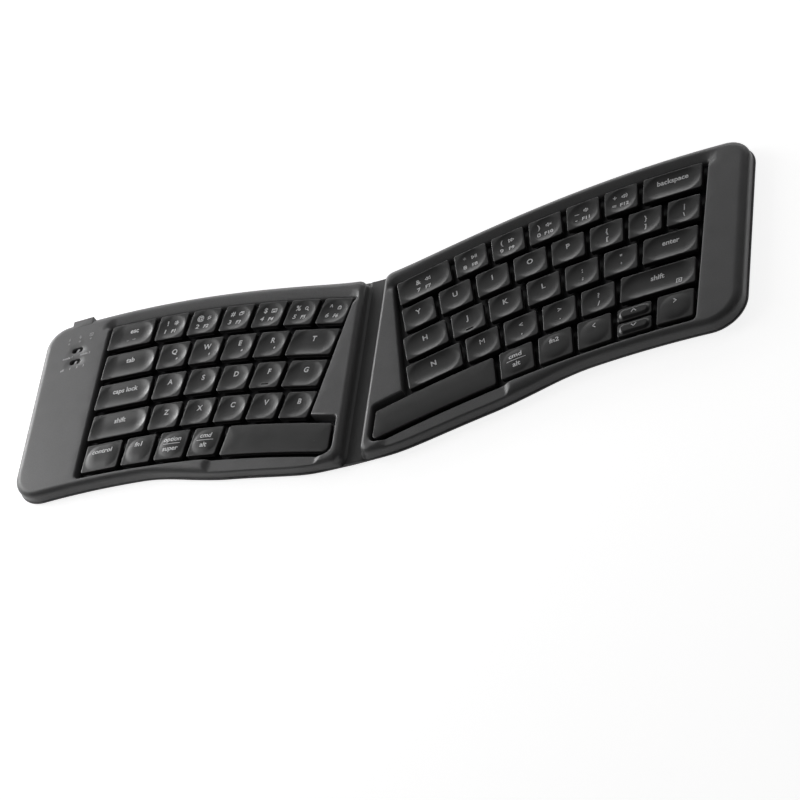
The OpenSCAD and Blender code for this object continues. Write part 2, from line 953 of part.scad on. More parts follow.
module key_arrow_up() {
  color("black") arrow_half(1);
}

module key_arrow_down() {
  color("black") arrow_half(-1);
}

module key_arrow_right() {
  color("black") keys(right, 5, 4, 4);
}

module right_space_bar() {
  color("black") space_bar(right);
}

// Spine
spine_steps = 8;
spine_gap = 0.1;
function spine_outline(w, d) =
  let (xs = spread(-w, w, spine_steps))
  concat(
    [for (x = xs) [x, front_at(abs(x), d)]],
    [for (i = [spine_steps:-1:0]) [xs[i], back_at(abs(xs[i]), d)]]
  );

module spine_skin() {
  color("gray")
    translate([0, 0, skin_z])
      linear_extrude(skin_t) polygon(spine_outline(fold_x, -lip_w));
}

spine_half = fold_x - stiffener_t - lining_t - spine_gap;
module spine_stiffener() {
  color("silver")
    translate([0, 0, fold_z])
      linear_extrude(stiffener_t) polygon(spine_outline(spine_half, 2));
}

module spine_lining() {
  color("dimgray")
    difference() {
      translate([0, 0, flex_z])
        linear_extrude(lining_t) polygon(spine_outline(spine_half, 0.4));
      flex_channel(-fold_x, fold_x, flex_z - 1, flex_cover_z);
    }
}

module hinge_flex_cable() {
  color("orange")
    translate([-flex_reach, flex_y - flex_w / 2, flex_z])
      cube([2 * flex_reach, flex_w, flex_t]);
}

module battery() {
  color("silver")
    mirror([1, 0, 0])
      translate([bay_x[0], battery_y[0], tray_top_z])
        cube([bay_x[1] - bay_x[0], battery_y[1] - battery_y[0], battery_h]);
}

module main_board() {
  color("darkgreen")
    mirror([1, 0, 0])
      difference() {
        translate([bay_x[0], board_y[0], tray_top_z])
          cube([bay_x[1] - bay_x[0], board_y[1] - board_y[0], board_t]);
        translate([port_x - socket_w / 2 - 0.1, port_y - socket_set_back - socket_d - 0.1, tray_top_z - 1])
          cube([socket_w + 0.2, 20, board_t + 2]);
      }
}

radio_size = [5, 8, 1.2];
radio_inset = 0.6;
radio_from_switch = 0.8;
module radio_module() {
  x0 = switch_x - switch_body[0] / 2 - radio_from_switch - radio_size[0];
  color("silver")
    mirror([1, 0, 0])
      translate([x0, board_y[0] + radio_inset, board_top_z])
        cube(radio_size);
}

module usb_socket() {
  color("silver")
    mirror([1, 0, 0])
      translate([port_x, port_y - socket_set_back - socket_d, socket_z])
        difference() {
          translate([-socket_w / 2, 0, 0])
            cube([socket_w, socket_d, socket_h]);
          translate([-socket_w / 2 + 0.3, 1, 0.3])
            cube([socket_w - 0.6, socket_d, socket_h - 0.6]);
        }
}

module slide_switches() {
  color("black")
    mirror([1, 0, 0])
      for (y = switch_ys)
        translate([switch_x - switch_body[0] / 2, y - switch_body[1] / 2, board_top_z])
          cube(switch_body);
}

module status_lights() {
  color("white")
    mirror([1, 0, 0])
      for (x = light_xs)
        translate([x, light_ys, board_top_z])
          cylinder(r = light_r, h = frame_top_z - board_top_z, $fn = bore_fn);
}

module knob(y) {
  z0 = board_top_z + switch_body[2];
  color("white")
    mirror([1, 0, 0])
      translate([switch_x - knob_w / 2, y - knob_d / 2, z0])
        cube([knob_w, knob_d, frame_top_z - 0.3 - z0]);
}

module mode_knob() {
  knob(mode_switch_y);
}

module power_knob() {
  knob(power_switch_y);
}

left_back_skin();
left_base_tray();
left_frame();
left_key_plate();
left_membrane();
left_domes();
left_scissors();
left_screws();
left_feet();
left_magnets();
right_back_skin();
right_base_tray();
right_frame();
right_key_plate();
right_membrane();
right_domes();
right_scissors();
right_screws();
right_feet();
right_magnets();
spine_skin();
spine_stiffener();
spine_lining();
hinge_flex_cable();
battery();
main_board();
radio_module();
usb_socket();
slide_switches();
status_lights();
mode_knob();
power_knob();
left_number_keys();
left_top_letter_keys();
left_home_letter_keys();
left_low_letter_keys();
key_esc();
key_tab();
key_caps();
key_left_shift();
key_control();
key_left_fn();
key_left_option();
key_left_command();
left_space_bar();
right_number_keys();
right_top_letter_keys();
right_home_letter_keys();
right_low_letter_keys();
key_backspace();
key_enter();
key_right_shift();
key_right_command();
key_right_fn();
key_arrow_left();
key_arrow_up();
key_arrow_down();
key_arrow_right();
right_space_bar();
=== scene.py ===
import bpy
import bmesh
import math
from mathutils import Matrix, Vector
from mathutils.geometry import delaunay_2d_cdt


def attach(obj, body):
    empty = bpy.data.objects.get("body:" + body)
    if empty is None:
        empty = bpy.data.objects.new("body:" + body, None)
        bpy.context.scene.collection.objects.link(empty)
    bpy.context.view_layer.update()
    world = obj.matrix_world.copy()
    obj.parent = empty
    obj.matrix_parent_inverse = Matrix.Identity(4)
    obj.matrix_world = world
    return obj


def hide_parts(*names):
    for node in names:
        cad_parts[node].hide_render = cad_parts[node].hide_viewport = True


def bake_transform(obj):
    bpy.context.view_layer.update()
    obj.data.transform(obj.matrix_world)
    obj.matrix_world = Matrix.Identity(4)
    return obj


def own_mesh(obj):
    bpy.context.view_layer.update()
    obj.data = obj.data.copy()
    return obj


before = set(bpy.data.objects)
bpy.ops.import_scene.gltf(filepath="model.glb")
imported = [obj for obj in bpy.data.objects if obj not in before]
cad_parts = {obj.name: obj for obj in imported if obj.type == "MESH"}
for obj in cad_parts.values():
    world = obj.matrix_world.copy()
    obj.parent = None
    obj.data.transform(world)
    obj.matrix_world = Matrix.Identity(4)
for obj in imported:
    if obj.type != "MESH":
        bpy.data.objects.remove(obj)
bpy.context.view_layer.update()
MM = 0.001
scene = bpy.context.scene
NAME = {-1: "left", 1: "right"}

# ---- sizes, in mm
# Shapes are drawn for the right half, with x from the middle of the spine, and mirrored.
# Keycaps: width and depth, depth in the bottom row, gap
CAP_W, CAP_D, LOW_D, KEY_GAP = 14.5, 13.4, 14.8, 2.5
# Rows: pitch, middle of the number row, shift of the bottom row
ROW_PITCH, ROW1_Y, LOW_SHIFT = 16.9, 16.66, 0.1
# Heights: deck, folding line, underside of the skin, membrane
TOP, FOLD_Z, SKIN_Z, FILM_Z = 7.1, 1.5, 0.5, 2.6
# Heights on a keycap: lower edge, top, roof of the hollow; rise of a space bar's middle
CAP_BASE, CAP_TOP, POCKET, CROWN = 4.6, 6.8, 5.8, 0.3
# End of a frame, and the radii of its two outer corners
HALF_W, FRONT_R, BACK_R = 168.51, 14, 11
# Rounded rim of a frame: width and height
EDGE_W, EDGE_DROP = 4.0, 2.6
# Port tab: middle, width, how far it stands out
PORT_X, PORT_W, PORT_OUT = 150.01, 10.4, 0.9
# Points of the back edge beside the port's mouth
PORT_GAP = (PORT_X - 4.9, PORT_X + 4.9)
SWITCH_X = 149.61
# Slope of the rows at the spine, where they lie level, and how fast they get there
SLOPE0, FLAT_X, BEND = math.tan(math.radians(16.9)), 150.0, 1.23
# Where the case meets its soft hinge edge, and the back skin the spine's skin
SEAM, SPLIT = 7.4, 8.0
# Closer points on the long edges up to here
DENSE_X = 76
# Lip of the skin: how far it stands out, its radius, its middle height
LIP, LIP_R, LIP_Z = 0.6, 0.5, 1.0


# ---- plain geometry
def clamp(t):
    return min(1, max(0, t))


def smooth(t):
    return t * t * (3 - 2 * t)


def spread(a, b, n):
    return [a + (b - a) * i / n for i in range(n + 1)]


def arc(cx, cy, r, a0, a1, n=8):
    turns = [math.radians(a) for a in spread(a0, a1, n)]
    return [(cx + r * math.cos(a), cy + r * math.sin(a)) for a in turns]


def circle(cx, cy, r, n=20):
    return arc(cx, cy, r, 0, 360, n)[:-1]


def stadium(cx, cy, w, d, n=10):
    r = d / 2
    return arc(cx + w / 2 - r, cy, r, -90, 90, n) + arc(cx - w / 2 + r, cy, r, 90, 270, n)


def rounded(w, d, r, n=3):
    """Rounded rectangle about the origin."""
    x, y = w / 2 - r, d / 2 - r
    corners = ((x, -y, 270), (x, y, 0), (-x, y, 90), (-x, -y, 180))
    return [p for cx, cy, a in corners for p in arc(cx, cy, r, a, a + 90, n)]


def rounding(n, a0=0, a1=90):
    """How far a rounded edge of radius 1 comes in and up."""
    turns = spread(math.radians(a0), math.radians(a1), n)
    return [(1 - math.cos(a), math.sin(a)) for a in turns]


def fillet(a, b, c, r, n=6):
    """Arc of radius r in the corner b between a and c."""
    a, b, c = Vector(a[:2]), Vector(b[:2]), Vector(c[:2])
    u, v = (a - b).normalized(), (c - b).normalized()
    half = u.angle(v) / 2
    m = b + (u + v).normalized() * r / math.sin(half)
    p, q = b + u * r / math.tan(half) - m, b + v * r / math.tan(half) - m
    a0, a1 = math.degrees(math.atan2(p.y, p.x)), math.degrees(math.atan2(q.y, q.x))
    sweep = (a1 - a0 + 180) % 360 - 180
    return arc(m.x, m.y, r, a0, a0 + sweep, n)


def between(a, b, gap, n=24):
    """Points on the straight line from a to b, away from both ends."""
    a, b = Vector(a[:2]), Vector(b[:2])
    length = (b - a).length
    return [tuple(a.lerp(b, s / length)) for s in spread(gap, length - gap, n)]


def inside(p, loop):
    x, y = p[0], p[1]
    hit = False
    for (x0, y0), (x1, y1) in zip(loop, loop[1:] + loop[:1]):
        if (y0 > y) != (y1 > y) and x < (x1 - x0) * (y - y0) / (y1 - y0) + x0:
            hit = not hit
    return hit


def at(pts, z):
    return [(p[0], p[1], z) for p in pts]


# ---- gull-wing layout
def rise(x):
    """How far the rows have climbed at x; both long edges follow them."""
    return SLOPE0 * (x - x ** (BEND + 1) / ((BEND + 1) * FLAT_X ** BEND))


def turn(x):
    return math.atan(SLOPE0 * (1 - (max(x, 0) / FLAT_X) ** BEND))


def row_y(r):
    return ROW1_Y - ROW_PITCH * (r - 1) - (LOW_SHIFT if r == 5 else 0)


# Start of each row and the widths of its keys but the last, which goes up to the row's end
ROWS = {
    -1: [(10.6, [CAP_W] * 6), (14.8, [23.3] + [CAP_W] * 4), (18.5, [18.5] + [CAP_W] * 4),
         (21.2, [CAP_W] * 5), (64.5, [CAP_W] * 3)],
    1: [(13.2, [24.1] + [CAP_W] * 5), (17.4, [CAP_W] * 7), (20.0, [19.3] + [CAP_W] * 5),
        (23.2, [24.4] + [CAP_W] * 4), (65.6, [CAP_W] * 4)]}
ROW_END = {-1: 133.004, 1: 148.51}
SPACE_START, SPACE_END = 10.2, {-1: 62.0, 1: 63.1}


def along(x, w):
    return w * math.cos(turn(x + w / 2))


def row_keys(side, r):
    """(middle, width) of each key of a row, from the hinge outwards."""
    x, widths = ROWS[side][r - 1]
    out = []
    for w in widths:
        out.append((x + along(x, w) / 2, w))
        x += along(x, w + KEY_GAP)
    w = (ROW_END[side] - x) / math.cos(turn((x + ROW_END[side]) / 2))
    return out + [(x + along(x, w) / 2, w)]


# Key well: outer side at the back and front, inner side at the back and at the step
WELL_OUTER = {-1: (134.604, 136.404), 1: (151.11, 150.11)}
WELL_INNER = {-1: (8.2, 21.0), 1: (9.4, 21.4)}
WELL_TOP = ROW1_Y + CAP_D / 2 + 1.6
WELL_LOW = row_y(5) - LOW_D / 2 - 2
WELL_STEP, WELL_STEP_X = row_y(5) + LOW_D / 2 + 4, 8.3
WELL_RIM = 0.75

# Long edges: the front one swells out before the hands and is held back at the spine
BACK_LINE, BACK_FLAT = ROW1_Y + 15.5, 12
FRONT_LINE, FRONT_SAG = row_y(5) - 11.8, 1.1
BULGE, BULGE_FROM, BULGE_FADE = 4.2, 60, 45
TIP_Y, TIP_BLEND = FRONT_LINE - BULGE + 6.2, 9


def bulge(x):
    return BULGE * (1 + math.cos(math.pi * clamp((x - BULGE_FROM) / BULGE_FADE))) / 2


def back_edge(x):
    return BACK_LINE + rise(math.hypot(x, BACK_FLAT))


def front_edge(x):
    edge = FRONT_LINE - bulge(x) - FRONT_SAG * (x / HALF_W) ** 2 + rise(x)
    return (edge + TIP_Y + math.sqrt((edge - TIP_Y) ** 2 + TIP_BLEND)) / 2


def back_slope(x):
    return back_edge(x + 0.5) - back_edge(abs(x - 0.5))


def front_slope(x):
    return 0 if x < 0.5 else front_edge(x + 0.5) - front_edge(x - 0.5)


def front_share(x):
    """Narrows the rounded rim where the bezel before the keys has no room for all of it."""
    room = WELL_LOW + rise(x) - front_edge(x) - WELL_RIM - 0.15
    return min(1, max(0.3, room / EDGE_W))


def front_at(x, d):
    return front_edge(x) + d * front_share(x) * math.hypot(1, front_slope(x))


def back_at(x, d):
    return back_edge(x) - d * math.hypot(1, back_slope(x))


def outline(d, xi, r):
    """Outline of a half, inset by d round the outside, with its hinge side at xi and corners
    of radius r there. The last value of each point says how far it belongs to that side."""
    def hinge_corner(edge_at, slope, a):
        a += math.degrees(math.atan(slope(xi + r)))
        x, y = arc(0, 0, r, a, a, 1)[0]
        return arc(xi + r, edge_at(xi + r + x, d) - y, r, 180, a)
    front_in = hinge_corner(front_at, front_slope, 270)
    back_in = hinge_corner(back_at, back_slope, 90)[::-1]
    fx, bx = HALF_W - FRONT_R, HALF_W - BACK_R
    front = spread(front_in[-1][0], DENSE_X, 90)[1:] + spread(DENSE_X, fx, 40)[1:-1]
    back = spread(bx, 20, 70)[1:] + spread(20, back_in[0][0], 14)[1:-1]
    back = [next((e for e in PORT_GAP if abs(x - e) < 0.95), x) for x in back]
    pts = [(x, y, 1 - i / 8) for i, (x, y) in enumerate(front_in)]
    pts += [(x, front_at(x, d), 0) for x in front]
    share = front_share(fx)
    for i, (x, y) in enumerate(arc(0, 0, 1, 270, 360, 14)):
        reach = FRONT_R - d * (share + (1 - share) * smooth(i / 14))
        pts.append((fx + reach * x, front_edge(fx) + FRONT_R + reach * y, 0))
    pts += at(arc(bx, back_edge(bx) - BACK_R, BACK_R - d, 0, 90, 14), 0)
    pts += [(x, back_at(x, d), 0) for x in back]
    pts += [(x, y, i / 8) for i, (x, y) in enumerate(back_in)]
    return pts + [(xi, y, 1) for y in spread(back_in[-1][1], front_in[0][1], 40)[1:-1]]


def well_outline(side, e):
    """Outline of the key well, widened by e."""
    (xbo, xfo), (xbi, xn), xs = WELL_OUTER[side], WELL_INNER[side], WELL_STEP_X
    grow = lambda x: e * math.hypot(1, math.tan(turn(x)))
    top = lambda x: WELL_TOP + rise(x) + grow(x)
    low = lambda x: WELL_LOW + rise(x) - grow(x)
    step = lambda x: WELL_STEP + rise(x) + grow(x)
    back_out, front_out = (xbo + e, top(xbo)), (xfo + e, low(xfo))
    back_in, notch = (xbi - e, top(xbi)), (xn - e, step(xn))
    step_in, front_in = (xs - e, step(xs)), (xs - e, low(xs))
    lows = [(x, low(x)) for x in spread(xs + 6, DENSE_X, 84) + spread(DENSE_X, xfo - 4, 28)[1:]]
    tops = [(x, top(x)) for x in spread(xbo - 4, xbi + 4, 60)]
    run = fillet(step_in, front_in, lows[0], 4.5, 10) + lows
    run += fillet(lows[-1], front_out, back_out, 2.5) + between(front_out, back_out, 3.2)
    run += fillet(front_out, back_out, tops[0], 2.5) + tops
    run += fillet(tops[-1], back_in, notch, 1.25) + between(back_in, notch, 2.2) + [notch]
    return run + fillet(notch, step_in, front_in, 2.5) + between(step_in, front_in, 5.2, 5)


# ---- heights of the deck
# Thumb recess in the front edge: middle, half its length, depth, slope of its floor and ends
SCOOP_MID, SCOOP_HALF, SCOOP_DEPTH = 41.5, 53.4921 / 2, 1.2
SCOOP_TURN = turn(SCOOP_MID)
SCOOP_FALL, SCOOP_END = math.tan(math.radians(3)), math.tan(math.radians(26))
FAR_ABOVE = 99
# Back bezel: width and height of its slope down to the keys, radius round the well's corners
SLOPE_W, SLOPE_DROP, SLOPE_R = 3.6, 2.2, 3.0


def scoop_height(x, y):
    """Height of the recess in the front edge, far above the deck elsewhere."""
    dx, dy = x - SCOOP_MID, y - WELL_LOW - rise(SCOOP_MID)
    across = dx * math.cos(SCOOP_TURN) + dy * math.sin(SCOOP_TURN)
    out = dx * math.sin(SCOOP_TURN) - dy * math.cos(SCOOP_TURN)
    if out < -3:
        return FAR_ABOVE
    return TOP - SCOOP_DEPTH - SCOOP_FALL * out + SCOOP_END * max(0, abs(across) - SCOOP_HALF)


def lowered(x, y, z):
    """The lower of the surface and the recess, with a small round where they cross."""
    s = scoop_height(x, y)
    if s > z + 3:
        return z
    return (z + s - math.sqrt((z - s) ** 2 + 0.03)) / 2


def bezel_drop(side, x, y):
    """How far the back bezel has sloped down towards the keys at a point of the deck."""
    out = y - WELL_TOP - rise(x) + SLOPE_R
    if out < 0 or out > SLOPE_R + 1.3 * SLOPE_W:
        return 0
    past = max(0, WELL_INNER[side][0] + SLOPE_R - x, x - WELL_OUTER[side][0] + SLOPE_R)
    far = math.hypot(past, out)
    t = (far - SLOPE_R) / SLOPE_W
    ramp = (1 - t + math.sqrt((1 - t) ** 2 + 0.02)) / 2 if t > 0 else max(0, 1 + 2 * t)
    return SLOPE_DROP * ramp * smooth(min(1, out / far * 1.15) if far else 1)


def deck_height(side, x, y, z):
    """Height of a point of the shell once the bezel's slope and the recess are in it."""
    share = clamp((z - 4) / (TOP - 4))
    return lowered(x, y, z - share * bezel_drop(side, x, y))


# ---- mesh helpers
class Build:
    """Collects faces in mm, welds them and makes one mesh in metres."""

    def __init__(self):
        self.verts, self.faces, self.slots = [], [], []

    def add(self, pts):
        n = len(self.verts)
        self.verts += [tuple(p) for p in pts]
        return n

    def face(self, idx, slot=0):
        self.faces.append(tuple(idx))
        self.slots.append(slot)

    def polygon(self, pts):
        n = self.add(pts)
        self.face(range(n, n + len(pts)))

    def rings(self, rings, closed=True, slot=0, cap0=False, cap1=False):
        starts = [self.add(r) for r in rings]
        n = len(rings[0])
        assert all(len(r) == n for r in rings)
        for a, b in zip(starts, starts[1:]):
            for i in range(n if closed else n - 1):
                j = (i + 1) % n
                self.face((a + i, a + j, b + j, b + i), slot)
        if cap0:
            self.face([starts[0] + i for i in reversed(range(n))], slot)
        if cap1:
            self.face([starts[-1] + i for i in range(n)], slot)

    def drop(self, hidden):
        """Leaves out the faces whose points all pass the test."""
        kept = [i for i, f in enumerate(self.faces) if not all(hidden(*self.verts[v]) for v in f)]
        self.faces = [self.faces[i] for i in kept]
        self.slots = [self.slots[i] for i in kept]

    def fill(self, outer, holes, place, extra=()):
        """Fills between loops, with extra points inside; place turns a point into space."""
        loops = [[tuple(p[:2]) for p in loop] for loop in [outer] + list(holes)]
        verts, edges = [], []
        for loop in loops:
            n = len(verts)
            verts += [Vector(p) for p in loop]
            edges += [(n + i, n + (i + 1) % len(loop)) for i in range(len(loop))]
        verts += [Vector(p) for p in extra]
        co, _, tris, _, _, _ = delaunay_2d_cdt(verts, edges, [], 0, 1e-4)
        base = self.add([place(p.x, p.y) for p in co])
        for t in tris:
            c = sum((co[i] for i in t), Vector((0, 0))) / 3
            if inside(c, loops[0]) and not any(inside(c, loop) for loop in loops[1:]):
                self.face([base + i for i in t])

    def mesh(self, mirror=False, weld=0.004, angle=32, turn_up=False):
        me = bpy.data.meshes.new("mesh")
        sx = -1 if mirror else 1
        me.from_pydata([(sx * x * MM, y * MM, z * MM) for x, y, z in self.verts], [], self.faces)
        me.polygons.foreach_set("material_index", self.slots)
        bm = bmesh.new()
        bm.from_mesh(me)
        bmesh.ops.remove_doubles(bm, verts=bm.verts, dist=weld * MM)
        bmesh.ops.dissolve_degenerate(bm, edges=bm.edges, dist=1e-7)
        bmesh.ops.recalc_face_normals(bm, faces=bm.faces)
        if turn_up and sum(f.normal.z * f.calc_area() for f in bm.faces) < 0:
            bmesh.ops.reverse_faces(bm, faces=bm.faces)
        bm.to_mesh(me)
        bm.free()
        me.shade_smooth()
        me.set_sharp_from_angle(angle=math.radians(angle))
        return me


def in_scene(name, data):
    obj = bpy.data.objects.new(name, data)
    scene.collection.objects.link(obj)
    return obj


def evaluated_mesh(obj):
    bpy.context.view_layer.update()
    return bpy.data.meshes.new_from_object(obj.evaluated_get(bpy.context.evaluated_depsgraph_get()))


def piece(name, me, body, looks, replaces=()):
    """A visible piece; its looks are named in one string."""
    me.name = name
    for f in looks.split():
        me.materials.append(M[f])
    obj = in_scene(name, me)
    if body:
        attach(obj, body)
    if replaces:
        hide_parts(*replaces)
    return obj


def pair(name, make, finish, node):
    """One piece on each half, in place of that half's node."""
    for side, s in NAME.items():
        piece(s + name, make(side), s + "_half", finish, [s + node])


# ---- materials
def shader(name):
    """A new material, and a function that sets up one of its nodes."""
    m = bpy.data.materials.new(name)
    m.use_nodes = True
    nt = m.node_tree

    def put(kind, inputs=(), **settings):
        """Adds a node, or takes one by its full name, and fills its inputs."""
        n = nt.nodes[kind] if " " in kind else nt.nodes.new("ShaderNode" + kind)
        for key, value in settings.items():
            setattr(n, key, value)
        for key, value in dict(inputs).items():
            if isinstance(value, bpy.types.NodeSocket):
                nt.links.new(value, n.inputs[key])
            else:
                n.inputs[key].default_value = value
        return n
    return m, put


def material(name, base, rough, grain, vary=0.12, metallic=0, grain_size=0.0002, patch=0.012,
             coat=0, speck=0, sheen=0, spec=0.5):
    """Procedural finish: patchy colour and gloss, and a fine moulded or brushed grain.
    A single number as base is a grey."""
    base = (base, base, base * 1.01) if isinstance(base, float) else base
    m, put = shader(name)
    where = put("TexCoord").outputs["Object"]

    def noise(size, detail):
        n = put("TexNoise", {"Scale": 1 / size, "Detail": detail, "Vector": where})
        return n.outputs["Fac"]

    def ramp(fac, lo, hi, a, z):
        r = put("ValToRGB", {"Fac": fac})
        for stop, position, colour in zip(r.color_ramp.elements, (a, z), (lo, hi)):
            stop.position, stop.color = position, (*colour, 1)
        return r.outputs["Color"]

    lo, hi = [c * (1 - vary) for c in base], [min(1, c * (1 + vary)) for c in base]
    tone = ramp(noise(patch, 3), lo, hi, 0.3, 0.7)
    if speck:
        fine = ramp(noise(grain_size * 1.6, 2), [1 - speck] * 3, [1 + speck] * 3, 0.35, 0.65)
        tone = put("Mix", {"Factor": 1, "A": tone, "B": fine}, data_type="RGBA",
                   blend_type="MULTIPLY").outputs["Result"]
    gloss = put("MapRange", {"To Min": max(0.02, rough - 0.08), "To Max": min(1, rough + 0.08),
                             "Value": noise(patch * 0.5, 4)})
    bump = put("Bump", {"Strength": grain, "Distance": grain_size * 0.4,
                        "Height": noise(grain_size, 2)})
    put("Principled BSDF", {
        "Base Color": tone, "Roughness": gloss.outputs["Result"], "Normal": bump.outputs["Normal"],
        "Metallic": metallic, "Coat Weight": coat, "Coat Roughness": 0.25, "Sheen Weight": sheen,
        "Specular IOR Level": spec})
    return m


M = {
    "case": material("case_soft_touch", 0.155, 0.4, 0.35, 0.05,
                     grain_size=0.00022, speck=0.08, spec=0.34),
    "ridge": material("hinge_soft_edge", 0.13, 0.42, 0.25, 0.05, grain_size=0.00025, speck=0.06),
    "skin": material("back_skin", 0.15, 0.55, 0.5, 0.06, grain_size=0.0003, speck=0.08, sheen=0.1),
    # Spine: half the skin's grey, a painted shade of the hinge valley on the spine's upper side
    "spine": material("spine_skin_finish", 0.075, 0.5, 0.4, 0.06, grain_size=0.00025, speck=0.06),
    "cap": material("keycap_satin", 0.02, 0.34, 0.12, 0.1, grain_size=0.00018, coat=0.08),
    "legend": material("legend_ink", 0.88, 0.55, 0.1, 0.03, grain_size=0.0001),
    "mark": material("panel_ink", 0.6, 0.6, 0.1, 0.05, grain_size=0.0001),
    "black": material("recess_black", 0.006, 0.5, 0.2, 0.2),
    "knob": material("knob_plastic", 0.5, 0.4, 0.15, 0.05),
    "film": material("switch_film", (0.012, 0.012, 0.014), 0.4, 0.1, 0.3, patch=0.004),
    "plate": material("support_plate", 0.4, 0.32, 0.25, 0.12, 1, grain_size=0.0004),
    "tray": material("tray_plastic", 0.05, 0.55, 0.3, 0.1),
    "dome": material("dome_silicone", 0.6, 0.45, 0.1, 0.05, sheen=0.2),
    "link": material("link_plastic", 0.5, 0.4, 0.15, 0.05),
    "screw": material("screw_steel", (0.5, 0.49, 0.47), 0.28, 0.15, 0.1, 1),
    "foot": material("foot_rubber", 0.018, 0.75, 0.6, 0.15, grain_size=0.0003),
    "magnet": material("magnet_nickel", (0.6, 0.58, 0.55), 0.2, 0.05, 0.08, 1),
    "steel": material("spring_steel", (0.45, 0.45, 0.47), 0.3, 0.2, 0.08, 1),
    "cable": material("cable_film", (0.35, 0.16, 0.03), 0.35, 0.1, 0.15, patch=0.003),
    "foil": material("battery_foil", (0.55, 0.56, 0.58), 0.3, 0.5, 0.1, 0.9, grain_size=0.0012),
    "board": material("solder_mask", (0.01, 0.09, 0.03), 0.35, 0.3, 0.3,
                      grain_size=0.0009, patch=0.003),
    "shield": material("shield_can", (0.6, 0.6, 0.58), 0.25, 0.1, 0.1, 1),
    "light": material("light_guide", 0.5, 0.3, 0.1, 0.1),
}

# Finishes of the carried-over solids: single ones, and those of each half
SINGLE = {
    "spine_stiffener": "steel", "battery": "foil", "main_board": "board", "radio_module": "shield",
    "usb_socket": "shield", "slide_switches": "black", "status_lights": "light"}
PAIRED = {"base_tray": "tray", "key_plate": "plate", "membrane": "film", "screws": "screw",
          "magnets": "magnet"}
for node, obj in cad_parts.items():
    finish = SINGLE.get(node) or next((PAIRED[k] for k in PAIRED if node.endswith(k)), "case")
    obj.data.materials.clear()
    obj.data.materials.append(M[finish])


# ---- frame shells
# Deck's mesh on the flat, in the recess and on the back slope: box, spacing, way off edges
ZONES = (((7, -62, HALF_W, 62), 3.4, 1.7), ((8, -60, DENSE_X, 0), 0.8, 0.4),
         ((7, 20, 140, 62), 0.9, 0.4))


def zone(x, y):
    if -2 <= y - WELL_TOP - rise(x) <= 6:
        return 2
    return 1 if scoop_height(x, y) <= TOP + 1.2 else 0


def scatter(loops, number, box, spacing, clear):
    """Staggered points of a zone inside the first loop, outside the second."""
    cell = 4
    cells = {}
    for p in (p for loop in loops for p in loop):
        cells.setdefault((p[0] // cell, p[1] // cell), []).append(p)
    x0, y, x1, y1 = box
    pts, k = [], 0
    while y < y1:
        x = x0 + spacing / 2 * (k % 2)
        while x < x1:
            here = zone(x, y) == number and inside((x, y), loops[0])
            if here and not inside((x, y), loops[1]):
                near = [q for a in (-1, 0, 1) for b in (-1, 0, 1)
                        for q in cells.get((x // cell + a, y // cell + b), [])]
                if all((q[0] - x) ** 2 + (q[1] - y) ** 2 > clear ** 2 for q in near):
                    pts.append((x, y))
            x += spacing
        y += spacing * 0.87
        k += 1
    return pts


# Slots of the two switches and the three status lights, on the left half
SWITCH_ROW = row_y(1) + rise(SWITCH_X)
SWITCH_YS = (SWITCH_ROW - 1.8, SWITCH_ROW - 8.5)
LIGHT_Y, LIGHT_XS = SWITCH_ROW + 3.4, (SWITCH_X - 5.8, SWITCH_X, SWITCH_X + 5.6)
# Steps up the hinge side: its x, height outside, height at the hinge, corner radius
HINGE_SIDE = ((3.3, FOLD_Z, 2.05, 3.2), (3.75, 1.9, 2.12, 3.4), (4.15, 2.6, 2.36, 3.6),
              (4.42, 3.3, 2.9, 3.8), (4.58, 3.9, 3.6, 4.0))


def shell_mesh(side):
    """Outer wall, deck and key-well wall of a half."""
    b = Build()
    steps = [(0, *row) for row in HINGE_SIDE]
    for i, u in rounding(13):
        d, z = EDGE_W * i, TOP - EDGE_DROP * (1 - u)
        steps.append((d, 4.65 + 2.35 / 4 * d, z, z, 4.0))
    rings = [[(x, y, deck_height(side, x, y, z_out * (1 - h) + z_in * h))
              for x, y, h in outline(d, xi, r)] for d, xi, z_out, z_in, r in steps]
    b.rings(rings)
    holes = []
    if side < 0:
        b.drop(lambda x, y, z: PORT_GAP[0] - 0.01 < x < PORT_GAP[1] + 0.01
               and y > back_edge(x) - 3 and z < 6)
        holes += [[at(stadium(SWITCH_X, y, 5.6 + e, 2.8 + e), TOP - drop) for e, drop in (
            (0.4, 0), (0.15, 0.06), (0, 0.2), (0, 1.2))] for y in SWITCH_YS]
        holes += [[at(circle(x, LIGHT_Y, r), TOP - drop) for r, drop in (
            (0.62, 0), (0.54, 0.08), (0.52, 0.6))] for x in LIGHT_XS]
    loops = [[p[:2] for p in rings[-1]], well_outline(side, WELL_RIM)] + [h[0] for h in holes]
    points = [p for k, grid in enumerate(ZONES) for p in scatter(loops, k, *grid)]
    b.fill(loops[0], loops[1:], lambda x, y: (x, y, deck_height(side, x, y, TOP)), points)
    wall = [[(x, y, deck_height(side, x, y, TOP) - WELL_RIM * i)
             for x, y in well_outline(side, WELL_RIM * (1 - u))] for i, u in rounding(6)]
    wall += [at(well_outline(side, 0), z) for z in (4.2, FILM_Z)]
    for run in [wall] + holes:
        b.rings(run)
    return b.mesh(side < 0, turn_up=True, angle=40)


def cut_at_seam(me, side, keep_inner):
    """A mesh's share on one side of the line where case and soft hinge edge meet."""
    out = me.copy()
    bm = bmesh.new()
    bm.from_mesh(out)
    bmesh.ops.bisect_plane(bm, geom=bm.verts[:] + bm.edges[:] + bm.faces[:],
                           plane_co=(side * SEAM * MM, 0, 0), plane_no=(side, 0, 0),
                           clear_inner=not keep_inner, clear_outer=keep_inner)
    bm.to_mesh(out)
    bm.free()
    return out


